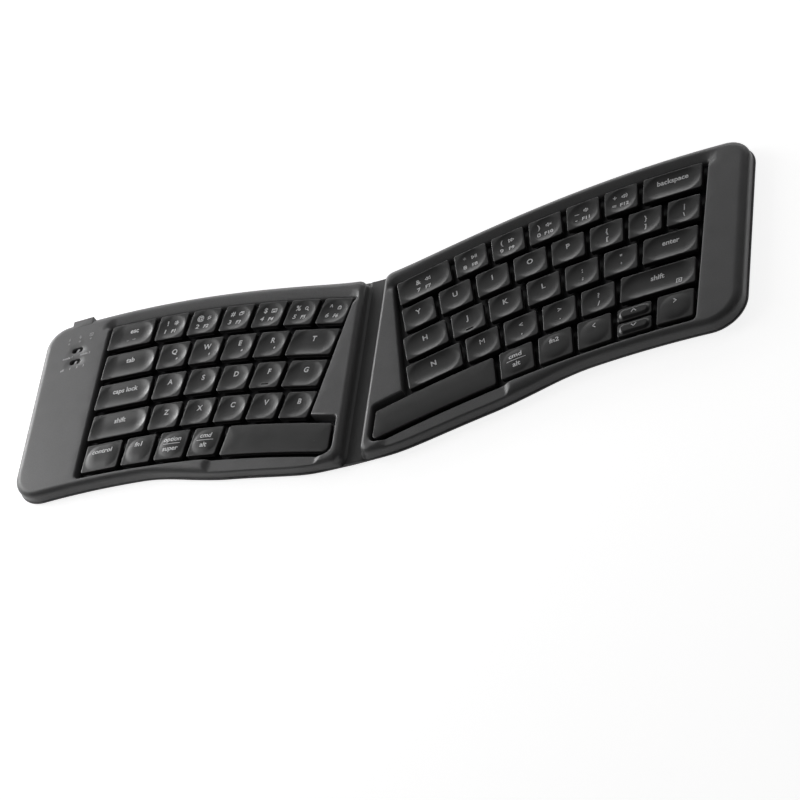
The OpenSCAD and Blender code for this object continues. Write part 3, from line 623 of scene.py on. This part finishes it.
for side, s in NAME.items():
    full = shell_mesh(side)
    piece(s + "_case", cut_at_seam(full, side, False), s + "_half", "case",
          [s + "_frame"])
    ridge = piece(s + "_hinge_edge", cut_at_seam(full, side, True), s + "_half", "ridge",
                  [s + "_frame"])
    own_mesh(ridge)

# ---- back skins
# Behind the hinge the skin stands out this much further, up to this x and fading over this
TONGUE, TONGUE_END, TONGUE_FADE = 1.3, 18, 11


def tongue(x, y):
    return TONGUE * smooth(clamp((TONGUE_END - abs(x)) / TONGUE_FADE)) if y > 0 else 0


def skin_loop(d, z):
    share = clamp((1.2 - d) / 1.2)
    return [(x, y + tongue(x, y) * share, z) for x, y, _ in outline(d, SPLIT, 0.05)]


def skin_mesh(side):
    b = Build()
    rings = [skin_loop(0.8, SKIN_Z)]
    rings += [skin_loop(LIP_R * i - LIP, LIP_Z + LIP_R * u) for i, u in rounding(8, -90, 90)]
    rings.append(skin_loop(1.2, FOLD_Z))
    b.rings(rings)
    b.fill(rings[0], [], lambda x, y: (x, y, SKIN_Z))
    b.fill(rings[-1], [], lambda x, y: (x, y, FOLD_Z))
    return b.mesh(side < 0)


def tab_loop(half_w, y0, y1, r, e, n):
    """Round a tab at the port from one end of its face to the other, inset by e."""
    x0, x1 = PORT_X - half_w, PORT_X + half_w
    return (arc(x0 + r, y1 - r, r - e, 90, 180, n) + [(x0 + e, y0), (x1 - e, y0)]
            + arc(x1 - r, y1 - r, r - e, 0, 90, n))


def tab_skin():
    """The skin's short tongue under the port's tab, a little thinner than the skin."""
    b = Build()
    y, half_w = back_edge(PORT_X), PORT_W / 2 + LIP
    b.rings([at(tab_loop(half_w, y - 1, y + PORT_OUT + LIP, 0.9, LIP_R * i, 4), LIP_Z + 0.49 * u)
             for i, u in rounding(6, -90, 90)], cap0=True, cap1=True)
    return b.mesh(True)


pair("_back_cover", skin_mesh, "skin", "_back_skin")
piece("port_tab_skin", tab_skin(), "left_half", "skin", ["left_back_skin"])


def spine_top(x):
    """Height of the upper side of the spine's skin, which is thickest in the middle."""
    return 2.05 - 0.55 * smooth(clamp((abs(x) - 3.6) / 1.6))


def spine_lip(x, edge):
    """Rounded edge of the spine's skin; edge gives the y of a distance inwards."""
    top = spine_top(x)
    mid, half, back_off = (top + SKIN_Z) / 2, (top - SKIN_Z) / 2, 0.35 * (top - FOLD_Z)
    return [(x, edge(LIP_R * i - LIP + (back_off if k > 5 else 0)), mid + half * u)
            for k, (i, u) in enumerate(rounding(10, -90, 90))]


def spine_strip(side):
    b = Build()
    rings = []
    for x in spread(0, SPLIT, 26):
        front = lambda d: front_at(x, d)
        back = lambda d: back_at(x, d) + tongue(x, 1) * clamp((1.6 - d) / 1.6)
        ys = spread(front(1.6), back(1.6), 30)
        rings.append(spine_lip(x, front) + [(x, y, spine_top(x)) for y in ys]
                     + spine_lip(x, back)[::-1] + [(x, y, SKIN_Z) for y in reversed(ys)])
    b.rings(rings)
    return b.mesh(side < 0, angle=50)


def blend_piece(name, me, looks, nodes):
    """A strip between a half and the spine, on no body, with its placement baked into its points.
    """
    obj = piece(name, me, None, looks, nodes)
    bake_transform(obj)
    return obj


def flex_strip(side):
    b = Build()
    y = row_y(4)
    b.rings([[(x, y - 6, 1.76), (x, y - 5.9, 1.89), (x, y + 5.9, 1.89), (x, y + 6, 1.76)]
             for x in spread(0, 24, 60)], cap0=True, cap1=True)
    return b.mesh(side < 0)


for side, s in NAME.items():
    cover = blend_piece(s + "_spine_cover", spine_strip(side), "skin spine",
                        ["spine_skin", "spine_lining"])
    # Faces looking up take the darker spine grey, a painted shade of the hinge valley
    for p in cover.data.polygons:
        if p.normal.z > 0.3:
            p.material_index = 1
for side, s in NAME.items():
    blend_piece(s + "_flex_cable", flex_strip(side), "cable",
                ["hinge_flex_cable"])

# ---- port tab
# Mouth: middle height, width, height. Tab: its outer face, rounding of its top, corner radius
PORT_Z, MOUTH_W, MOUTH_H = 2.15 + 3.16 / 2, 8.94, 3.16
PORT_FACE, PORT_EDGE, PORT_R = back_edge(PORT_X) + PORT_OUT, 0.25, 0.3


def mouth(grow):
    return stadium(PORT_X, PORT_Z, MOUTH_W + 2 * grow, MOUTH_H + 2 * grow, 12)


def port_tab():
    """Flat-topped block on the back edge with the mouth of the charging port in its face."""
    b = Build()
    y0, half_w = back_edge(PORT_X) - 3.2, PORT_W / 2
    sides = [FOLD_Z, 2.2, 3.6, 5.0, TOP - PORT_EDGE]
    rings = [at(tab_loop(half_w, y0, PORT_FACE, PORT_R, e, 5), z) for e, z in (
        [(0, z) for z in sides[:-1]]
        + [(PORT_EDGE * i, TOP - PORT_EDGE * (1 - u)) for i, u in rounding(6)])]
    b.rings(rings, closed=False)
    b.rings([[r[-1], r[0]] for r in rings[4:]], closed=False)
    b.fill(rings[-1], [], lambda x, y: (x, y, TOP))
    b.fill([(PORT_X - half_w + PORT_R, z) for z in reversed(sides)]
           + [(PORT_X + half_w - PORT_R, z) for z in sides],
           [mouth(0.22)], lambda x, z: (x, PORT_FACE, z))
    b.rings([[(x, PORT_FACE - deep, z) for x, z in mouth(grow)]
             for grow, deep in ((0.22, 0), (0.14, 0.06), (0.08, 0.22))])
    return b.mesh(True, turn_up=True, angle=40)


def port_liner():
    """Sleeve round the socket, inside the mouth of the port."""
    b = Build()
    b.rings([[(x, PORT_FACE - deep, z) for x, z in mouth(0.08)] for deep in (0.22, 3, 7)])
    return b.mesh(True)


piece("port_tab", port_tab(), "left_half", "case", ["left_frame"])
piece("port_rim", port_liner(), "left_half", "black", ["left_frame"])

# ---- keycaps
CAP_BEVEL = 0.28


def grid_lines(half, step):
    """Lines across a cap, closer towards its edges."""
    edge = [0, 0.1, 0.25, 0.5, 0.8, 1.15, 1.6]
    inner = half - edge.pop()
    run = spread(-inner, inner, max(2, round(2 * inner / step)))
    return [e - half for e in edge] + run + [half - e for e in reversed(edge)]


def bowl(u, v, w, d, margin, r, wall):
    """How deep inside a rounded rectangle a point is, from 0 at its line to 1 inside."""
    r = min(r, w / 2 - margin, d / 2 - margin)
    p, q = abs(u) - (w / 2 - margin - r), abs(v) - (d / 2 - margin - r)
    dist = math.hypot(max(p, 0), max(q, 0)) + min(max(p, q), 0) - r
    return 1 - (1 - clamp(-dist / wall)) ** 2


def cap_surface(kind, w, d):
    """Height of a cap's top at u across and v along it."""
    edge, rise_in, margin, r, wall = {
        "dish": (0, -0.8, 0.5, 6.2, 5.8), "crown": (-0.2, 0.48, 1.0, 5.6, 5.0),
        "half": (-0.5, 0.78, 0.8, 2.4, 1.2)}[kind]
    return lambda u, v: CAP_TOP + edge + rise_in * bowl(u, v, w, d, margin, r, wall)


def round_corner(u, v, a, c, r):
    """Moves a point of a grid of half sides a and c to round its corners."""
    p, q = (abs(u) - (a - r)) / r, (abs(v) - (c - r)) / r
    if p <= 0 or q <= 0:
        return u, v
    p, q = p * math.sqrt(1 - q * q / 2), q * math.sqrt(1 - p * p / 2)
    return math.copysign(a - r + p * r, u), math.copysign(c - r + q * r, v)


def add_cap(b, place, w, d, kind, r=1.0, step=0.62):
    """A cap with its top, sides and hollow underside; gives the height of its top."""
    surf = cap_surface(kind, w, d)
    a, c = w / 2, d / 2
    rows = []
    for v in grid_lines(c, step):
        rows.append([])
        for u in grid_lines(a, step):
            x, y = round_corner(u, v, a, c, r)
            px, py = max(0, abs(x) - (a - r)), max(0, abs(y) - (c - r))
            edge = r - math.hypot(px, py) if px and py else min(a - abs(x), c - abs(y))
            short = max(0, CAP_BEVEL - max(edge, 0))
            z = surf(x, y) - CAP_BEVEL + math.sqrt(CAP_BEVEL ** 2 - short ** 2)
            rows[-1].append((x, y, z))
    b.rings([[place(*p) for p in row] for row in rows], closed=False)
    rim = rows[0] + [row[-1] for row in rows[1:]]
    rim += rows[-1][-2::-1] + [row[0] for row in rows[-2:0:-1]]

    def inset(e, z):
        return [place(*round_corner(x * (a - e) / a, y * (c - e) / c, a - e, c - e,
                                    max(0.2, r - e)), z) for x, y, _ in rim]
    b.rings([[place(*p) for p in rim], [place(x, y, CAP_BASE + 0.15) for x, y, _ in rim],
             inset(0.12, CAP_BASE), inset(0.9, CAP_BASE), inset(0.9, POCKET - 0.05)], cap1=True)
    return surf


def key_place(side, x, y, off=0):
    """Places a point of a key's own plane, for caps, legends and supports."""
    t = side * turn(x)
    c, s = math.cos(t), math.sin(t)
    return lambda u, v, z: (side * x + u * c - (v + off) * s, y + u * s + (v + off) * c, z)


# ---- legends
INK = 0.32
WORDS = {}


def word(text, size):
    """Triangles of a short word, centred, in mm."""
    if (text, size) not in WORDS:
        cu = bpy.data.curves.new("word", "FONT")
        cu.body, cu.size, cu.resolution_u = text, size, 3
        cu.align_x, cu.align_y = "CENTER", "CENTER"
        # these two fill wrongly when they are drawn bolder
        cu.offset = 0 if text in ("M", "*") else 0.026 * size
        ob = in_scene("word", cu)
        me = evaluated_mesh(ob)
        bm = bmesh.new()
        bm.from_mesh(me)
        bmesh.ops.triangulate(bm, faces=bm.faces)
        long = [e for e in bm.edges if e.calc_length() > 1.0]
        bmesh.ops.subdivide_edges(bm, edges=long, cuts=1)
        bmesh.ops.triangulate(bm, faces=bm.faces)
        bm.to_mesh(me)
        bm.free()
        WORDS[text, size] = [[tuple(me.vertices[i].co[:2]) for i in p.vertices]
                             for p in me.polygons]
        bpy.data.objects.remove(ob)
        bpy.data.curves.remove(cu)
        bpy.data.meshes.remove(me)
    return WORDS[text, size]


def line(pts, closed=False, w=INK):
    """Polygons of a drawn line, in pieces short enough to follow a cap's top."""
    out = []
    run = pts + pts[:1] if closed else pts
    for (x0, y0), (x1, y1) in zip(run, run[1:]):
        n = math.hypot(x1 - x0, y1 - y0)
        ux, uy = (x1 - x0) / n * w / 2, (y1 - y0) / n * w / 2
        cuts = max(1, round(n / 0.7))
        row = list(zip(spread(x0 - ux * 0.6, x1 + ux * 0.6, cuts),
                       spread(y0 - uy * 0.6, y1 + uy * 0.6, cuts)))
        out += [[(xa - uy, ya + ux), (xa + uy, ya - ux), (xb + uy, yb - ux), (xb - uy, yb + ux)]
                for (xa, ya), (xb, yb) in zip(row, row[1:])]
    return out


def box(x0, y0, x1, y1):
    return line([(x0, y0), (x1, y0), (x1, y1), (x0, y1)], True)


def ring(cx, cy, r, a0=0, a1=360, n=14):
    return line(arc(cx, cy, r, a0, a1, n))


def wave(r):
    return ring(-0.2, 0, r, -50, 50, 6)


def triangle(x, s):
    return line([(x, 0.75), (x, -0.75), (x + s * 1.05, 0)], True)


def dot(cx, cy, r):
    return [circle(cx, cy, r, 10)]


def joined(lists):
    return [p for polys in lists for p in polys]


HORN = line([(-1.2, -0.3), (-0.8, -0.3), (-0.2, -0.8), (-0.2, 0.8), (-0.8, 0.3), (-1.2, 0.3)], True)
# Small generic pictograms, about 2.4 mm wide
ICONS = {
    "sun": ring(0, 0, 0.45) + joined(
        line([a, b]) for a, b in zip(circle(0, 0, 0.75, 8), circle(0, 0, 1.1, 8))),
    "dim": ring(0, 0, 0.5) + joined(dot(x, y, 0.15) for x, y in circle(0, 0, 1, 8)),
    "windows": box(-1.1, -0.5, 0.4, 0.6) + line([(-0.6, 0.95), (0.95, 0.95), (0.95, -0.2)]),
    "pad": box(-1.2, -0.75, 1.2, 0.75) + line([(-0.5, -0.42), (0.5, -0.42)]) + joined(
        dot(x, y, 0.14) for x in (-0.6, 0, 0.6) for y in (-0.1, 0.35)),
    "lens": ring(-0.2, 0.2, 0.65) + line([(0.3, -0.3), (0.95, -0.95)], w=INK * 1.2),
    "lock": box(-0.75, -0.85, 0.75, 0.15) + ring(0, 0.2, 0.5, 0, 180),
    "back": triangle(0, -1) + triangle(1.15, -1),
    "play": triangle(-1.1, 1) + line([(0.4, -0.7), (0.4, 0.7)]) + line([(0.95, -0.7), (0.95, 0.7)]),
    "next": triangle(-1.15, 1) + triangle(0, 1),
    "mute": HORN + line([(0.3, -0.4), (1.1, 0.4)]) + line([(0.3, 0.4), (1.1, -0.4)]),
    "quiet": HORN + wave(0.7),
    "loud": HORN + wave(0.7) + wave(1.25),
    "chevron": line([(0.55, 0.95), (-0.55, 0), (0.55, -0.95)], w=INK * 1.15),
    "tools": box(-0.8, -0.8, 0.8, 0.8) + dot(0, 0, 0.35),
    "link": line([(-0.5, 0.5), (0.5, -0.4), (0, -0.95), (0, 0.95), (0.5, 0.4), (-0.5, -0.5)]),
    "plug": line([(0.1, 1.0), (-0.5, -0.05), (0.5, 0.05), (-0.1, -1.0)]),
    "caps": box(-0.9, -0.9, 0.9, 0.9) + line([(0, -0.4), (0, 0.5)]),
    "dash": line([(-1.0, 0), (1.0, 0)]),
    "mark": [[(0, 0.75), (-0.45, 0), (0, -0.75), (0.45, 0)]],
}


def icon(name, k=1.0):
    return [[(x * k, y * k) for x, y in p] for p in ICONS[name]]


def spun(polys, degrees):
    c, s = math.cos(math.radians(degrees)), math.sin(math.radians(degrees))
    return [[(x * c - y * s, x * s + y * c) for x, y in p] for p in polys]


def moved(polys, u, v):
    return [[(x + u, y + v) for x, y in p] for p in polys]


# Letter heights, and what the keys of the number row have besides their own sign
SMALL, SIGN, DIGIT, WORD, LETTER = 2.75, 3.2, 3.3, 3.4, 3.5
NUMBERS = {key: (sign, ico, "F%d" % f) for key, sign, ico, f in zip(
    "1234567890-=", "!@#$%^&*()_+", (
        "sun", "dim", "windows", "pad", "lens", "lock", "back", "play", "next", "mute", "quiet",
        "loud"), range(1, 13))}
SIGNS = dict(zip("[]\\;',./", "{}|:\"<>?"))
STACKS = {"option": "super", "cmd": "alt"}


def legend(name):
    """Polygons of a key's printing, in the key's own plane."""
    if name in NUMBERS:
        top, ico, f = NUMBERS[name]
        return (moved(word(top, DIGIT), -2.9, 2.4) + moved(icon(ico, 1.05), 1.5, 2.3)
                + moved(word(name, DIGIT), -3.2, -2.1) + moved(word(f, SMALL), 1.2, -2.2))
    if name in SIGNS:
        return moved(word(SIGNS[name], SIGN), 0, 2.4) + moved(word(name, SIGN), 0, -1.8)
    if name in STACKS:
        return (moved(word(name, WORD), -0.2, 2.7) + line([(-4.1, 0.4), (4.1, 0.4)])
                + moved(word(STACKS[name], WORD), 0, -2.1))
    if name == "esc":
        return (moved(word("esc", WORD), 0.6, 2.4) + moved(icon("dash", 0.5), -1.85, -2.7)
                + moved(icon("dash", 0.75), 1.3, -2.45))
    if name in ("Q", "W", "E", "R"):
        return moved(word(name, LETTER), -0.3, 2.3) + moved(icon("mark"), 1.9, -1.6)
    if len(name) == 1:
        return moved(word(name, LETTER), -0.3, 2.1)
    if name == "shift2":
        return moved(word("shift", WORD), -0.5, 2.0) + moved(icon("tools", 1.3), 8.9, -3.0)
    if name.startswith("arrow"):
        turned = spun(icon("chevron", 1.05), {"<": 0, ">": 180, "^": -90, "v": 90}[name[-1]])
        return moved(turned, 0, 2.8 if name[-1] in "<>" else 0.3)
    v = 2.6 if name in ("fn1", "fn2", "control") else 2.3
    return moved(word(name.replace("_", " "), WORD), -0.2, v)


# Keys of each row from the hinge outwards: printing and nodes, the first for all that are left
KEYS = {
    -1: [("6 5 4 3 2 1 esc", "left_number_keys key_esc"),
         ("T R E W Q tab", "left_top_letter_keys key_tab"),
         ("G F D S A caps_lock", "left_home_letter_keys key_caps"),
         ("B V C X Z shift", "left_low_letter_keys key_left_shift"),
         ("cmd option fn1 control", "key_left_command key_left_option key_left_fn key_control")],
    1: [("7 8 9 0 - = backspace", "right_number_keys key_backspace"),
        ("Y U I O P [ ] \\", "right_top_letter_keys"),
        ("H J K L ; ' enter", "right_home_letter_keys key_enter"),
        ("N M , . / shift2", "right_low_letter_keys key_right_shift"),
        ("cmd fn2 arrow< arrows arrow>",
         "key_right_command key_right_fn key_arrow_left key_arrow_ key_arrow_right")]}


def add_bar(b, place, surf, d):
    """Homing bar: a low rounded ridge near the front of the cap."""
    y0, half = -d / 2 + 2.4, 1.9
    b.rings([[place(x, y, surf(x, y) - 0.03 + 0.34 * u * min(1, (half - abs(x)) / 0.35))
              for x in spread(-half, half, 16)]
             for y, u in ((y0 - 0.38 * c, u) for c, u in arc(0, 0, 1, 0, 180, 8))], closed=False)


caps = {}


def add_key(node, name, place, w, d, kind, *fineness):
    """Adds a key to the caps, the printing and the places of its node."""
    b, ink, places = caps.setdefault(node, (Build(), Build(), []))
    surf = add_cap(b, place, w, d, kind, *fineness)
    for p in legend(name):
        ink.polygon([place(x, y, surf(x, y) + 0.045) for x, y in p])
    if name in ("F", "J"):
        add_bar(b, place, surf, d)
    places.append((place, kind == "half"))


# The bottom row's caps are a little shorter and sit further back
LOW_LIFT, LOW_CAP_D = 0.4, LOW_D - 0.4
ARROW_D = (LOW_CAP_D - 1) / 2
for side in NAME:
    for r, (names, nodes) in enumerate(KEYS[side], 1):
        names, nodes = names.split(), nodes.split()
        nodes = nodes[:1] * (len(names) - len(nodes)) + nodes
        for (x, w), name, node in zip(row_keys(side, r), names, nodes):
            y = row_y(r) + rise(x)
            if r < 5:
                add_key(node, name, key_place(side, x, y), w, CAP_D, "dish")
            elif name != "arrows":
                add_key(node, name, key_place(side, x, y + LOW_LIFT), w, LOW_CAP_D, "crown")
            else:
                for way, sign, off in (("up", "^", 0.5), ("down", "v", -0.5)):
                    place = key_place(side, x, y + LOW_LIFT, off * (ARROW_D + 1))
                    add_key(node + way, "arrow" + sign, place, w, ARROW_D, "half", 1.1, 0.3)


# ---- space bars
def space_outline(side, d, ends=1):
    """Outline of a space bar inset by d, and by a share of it at the ends."""
    x0, x1, half_d = SPACE_START + d * ends, SPACE_END[side] - d * ends, LOW_D / 2 - d
    lean = half_d * math.sin(turn(x1)) / (x1 - x0)
    xs, y = spread(x0, x1, 40), row_y(5)
    low = [(x + lean * (x - x0), y - half_d + rise(x)) for x in xs]
    top = [(x - lean * (x - x0), y + half_d + rise(x)) for x in xs]
    r = min(1.1, half_d * 0.45)
    pts = fillet(top[0], low[0], low[4], min(2.0, half_d * 0.8), 8) + low[2:-2]
    pts += fillet(low[-2], low[-1], top[-1], r) + fillet(low[-1], top[-1], top[-2], r)
    return pts + top[2:-2][::-1] + fillet(top[4], top[0], low[0], r)


def space_mesh(side):
    """A space bar, whose crown stays long as its ends move in less."""
    b = Build()
    bevel, edge_z = 0.35, CAP_TOP - CROWN
    rings = [at(space_outline(side, d), z) for d, z in (
        (0.9, POCKET - 0.05), (0.9, CAP_BASE), (0.12, CAP_BASE), (0, CAP_BASE + 0.15))]
    rings += [at(space_outline(side, bevel * i), edge_z - bevel * (1 - u))
              for i, u in rounding(5)]
    for t in spread(0, 1, 12)[1:]:
        d = bevel + (LOW_D / 2 - bevel - 1.2) * t
        rings.append(at(space_outline(side, d, 0.9), edge_z + CROWN * (1 - (1 - t) ** 2)))
    b.rings(rings, cap0=True, cap1=True)
    return b.mesh(side < 0, angle=50)


for node, (b, ink, places) in caps.items():
    piece(node + "_cap", b.mesh(angle=50), node, "cap", [node])
    piece(node + "_legend", ink.mesh(weld=0.0001, turn_up=True), node,
          "legend", [node])
for side, s in NAME.items():
    piece(s + "_space_cap", space_mesh(side), s + "_space_bar", "cap",
          [s + "_space_bar"])

# ---- domes and links
DOME_H = POCKET - FILM_Z - 0.1
# Radius and height up a dome; inset and height round the section of a link's bars
DOME = [(2.9, 0), (2.86, 0.25), (2.45, 0.9), (2.0, 1.6), (1.75, 1.95), (1.7, 2.3),
        (1.68, DOME_H - 0.15), (1.5, DOME_H)]
LINK_BAR = [(0.08, -0.25), (0, -0.17), (0, 0.17), (0.08, 0.25), (0.62, 0.25), (0.7, 0.17),
            (0.7, -0.17), (0.62, -0.25), (0.08, -0.25)]
LINK_HALF = 4.3
LINK_ANGLE = math.asin((POCKET - FILM_Z - 0.7) / (2 * LINK_HALF))


def add_dome(b, place, k=1.0):
    b.rings([[place(x, y, FILM_Z + z) for x, y in circle(0, 0, r * k)] for r, z in DOME],
            cap0=True, cap1=True)


def add_link(b, place, half_w, angle):
    """One frame of a scissor pair: four bars with softened edges, tilted about its middle."""
    ca, sa, mid = math.cos(angle), math.sin(angle), (POCKET + FILM_Z) / 2
    rings = []
    for e, z in LINK_BAR:
        loop = rounded(2 * (half_w - e), 2 * (LINK_HALF - e), max(0.15, 0.7 - e))
        rings.append([place(x, y * ca - z * sa, mid + y * sa + z * ca) for x, y in loop])
    b.rings(rings, slot=1)


supports = {node: places for node, (_, _, places) in caps.items()}
for side, s in NAME.items():
    xm = (SPACE_START + SPACE_END[side]) / 2
    supports[s + "_space_bar"] = [(key_place(side, x, row_y(5) + rise(x)), False)
                                  for x in (xm - 15, xm, xm + 15)]
LEFT_KEYS = ("key_esc", "key_tab", "key_caps", "key_control")
for node, places in supports.items():
    b = Build()
    for place, small in places:
        add_dome(b, place, 0.52 if small else 1.0)
        if not small:
            add_link(b, place, 4.9, LINK_ANGLE)
            add_link(b, place, 4.05, -LINK_ANGLE)
    home = "left" if "left_" in node or node in LEFT_KEYS else "right"
    obj = piece(node + "_support", b.mesh(weld=0.001), home + "_half",
                "dome link", [home + "_domes", home + "_scissors"])
    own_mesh(obj)


# ---- switches and panel marks
def knob_mesh(y):
    """Slanted ridge of a slide switch."""
    b = Build()
    lean = 0.28
    b.rings([[(SWITCH_X + u - lean * v, y + v, z) for u, v in rounded(w, d, r)]
             for w, d, z, r in ((1.5, 1.8, 4.3, 0.2), (1.5, 1.8, 6.2, 0.2), (1.45, 1.75, 6.5, 0.25),
                                (1.2, 1.5, 6.68, 0.3), (0.9, 1.2, 6.6, 0.3))],
            cap0=True, cap1=True)
    return b.mesh(True)


def pit_floor():
    """Dark floors of the switch slots."""
    b = Build()
    for y in SWITCH_YS:
        b.rings([at(stadium(SWITCH_X, y, 5.7, 2.9), TOP - 1.15),
                 at(stadium(SWITCH_X, y, 4.2, 2.2), TOP - 1.3)], cap1=True)
    return b.mesh(True, turn_up=True)


def marks_mesh():
    """Pictograms and words printed round the two switches."""
    b = Build()
    marks = [(icon(ico, 0.85), u, 5.7) for u, ico in ((-5.6, "link"), (0, "plug"), (5.8, "caps"))]
    marks += [(word(text, 1.7), u, v) for u, v, text in (
        (-4.4, -5.2, "mode 1"), (4.6, -5.0, "mode 2"), (-6.2, -11.9, "off"), (-2.0, -11.9, "1"),
        (1.6, -11.9, "2"), (5.0, -11.9, "3"))]
    for polys, u, v in marks:
        for p in spun(polys, -math.degrees(turn(SWITCH_X))):
            b.polygon([(u - SWITCH_X + x, SWITCH_ROW + v + y, TOP + 0.02) for x, y in p])
    return b.mesh(weld=0.0001, turn_up=True)


piece("switch_pits", pit_floor(), "left_half", "black")
for name, y in zip(("mode_knob", "power_knob"), SWITCH_YS):
    piece(name + "_cap", knob_mesh(y), name, "knob", [name])
piece("panel_marks", marks_mesh(), "left_half", "mark")


# ---- feet
def feet_mesh(side):
    """Pads along the rows, two near the front and two near the back."""
    b = Build()
    for x0, x1 in ((20, 56), (HALF_W - 66.5, HALF_W - 24.5)):
        xs = spread(x0, x1, 16)
        for y in (FRONT_LINE + 6, ROW1_Y + 8):
            rings = []
            for e, z in ((0.05, SKIN_Z + 0.02), (0, 0.35), (0.05, 0.15), (0.2, 0.04), (0.4, 0)):
                r = 2 - e
                low = [(x, y - r + rise(x)) for x in xs]
                top = [(x, y + r + rise(x)) for x in reversed(xs)]
                rings.append(at(low + arc(x1, y + rise(x1), r, -80, 80, 6)
                                + top + arc(x0, y + rise(x0), r, 100, 260, 6), z))
            b.rings(rings, cap0=True, cap1=True)
    return b.mesh(side < 0)


pair("_rubber_feet", feet_mesh, "foot", "_feet")


# ---- floor, light and camera
def floor():
    """White floor that looks evenly bright to the camera and in reflections."""
    me = bpy.data.meshes.new("floor")
    corners = [(x, y, -0.0002) for x, y in ((-6, -6), (6, -6), (6, 6), (-6, 6))]
    me.from_pydata(corners, [], [(0, 1, 2, 3)])
    m, put = shader("floor_white")
    b = put("Principled BSDF", {"Base Color": (0.62, 0.62, 0.62, 1), "Roughness": 0.9,
                                "Specular IOR Level": 0.1})
    ray = put("LightPath").outputs
    seen = ray["Is Camera Ray"]
    for name in ("Is Glossy Ray", "Is Transmission Ray"):
        seen = put("Math", {0: seen, 1: ray[name]}, operation="MAXIMUM").outputs["Value"]
    share = put("Math", {0: seen, 1: 0.84}, operation="MULTIPLY")
    glow = put("Emission", {"Strength": share.outputs["Value"]})
    both = put("AddShader", {0: b.outputs["BSDF"], 1: glow.outputs["Emission"]})
    put("Material Output", {"Surface": both.outputs["Shader"]})
    me.materials.append(m)
    in_scene("floor", me)


def lamp(name, place, size, watts, target=(0, 0, 0)):
    li = bpy.data.lights.new(name, "AREA")
    li.shape = "RECTANGLE"
    li.size, li.size_y = size
    li.energy = watts
    ob = in_scene(name, li)
    ob.location = place
    ob.rotation_euler = (Vector(target) - Vector(place)).to_track_quat("-Z", "Y").to_euler()


floor()
lamp("back_softbox", (-0.45, 0.75, 0.24), (0.9, 0.24), 1.1)
lamp("back_strip", (-0.1, 0.9, 0.15), (1.0, 0.2), 1.0)
lamp("left_rim", (-0.75, 0.5, 0.18), (0.3, 0.2), 1.8)
lamp("left_softbox", (-0.5, 0.12, 0.25), (0.3, 0.4), 1.15, (-0.08, 0, 0))
lamp("left_fill", (-0.62, 0.04, 0.46), (0.35, 0.5), 0.25, (-0.05, 0, 0))
lamp("back_fill", (0.35, 0.8, 0.3), (0.6, 0.3), 0.5)
lamp("top_fill", (-0.2, 0.6, 0.7), (0.6, 0.4), 0.3)

world = bpy.data.worlds.new("studio")
scene.world = world
world.use_nodes = True
sky = world.node_tree.nodes["Background"]
sky.inputs["Color"].default_value = (1, 1, 1, 1)
sky.inputs["Strength"].default_value = 0.07

# Camera matched to the photo: focal length and width in its pixels, axes and position
FOCAL, PHOTO_W, SENSOR = 3179.126, 800, 36
RIGHT = (0.87637611, 0.10896864, -0.46913831)
UP = (0.22463341, 0.76915431, 0.5982821)
BACK = (0.42603374, -0.62970428, 0.64959047)
EYE = (0.56281767, -0.83861643, 0.83276106)
cam = bpy.data.cameras.new("camera")
cam.sensor_width, cam.lens = SENSOR, FOCAL / PHOTO_W * SENSOR
cam.clip_start, cam.clip_end = 0.05, 20
eye = in_scene("camera", cam)
eye.matrix_world = Matrix(list(zip(RIGHT, UP, BACK, EYE)) + [(0, 0, 0, 1)])
scene.camera = eye
scene.view_settings.view_transform = "Standard"
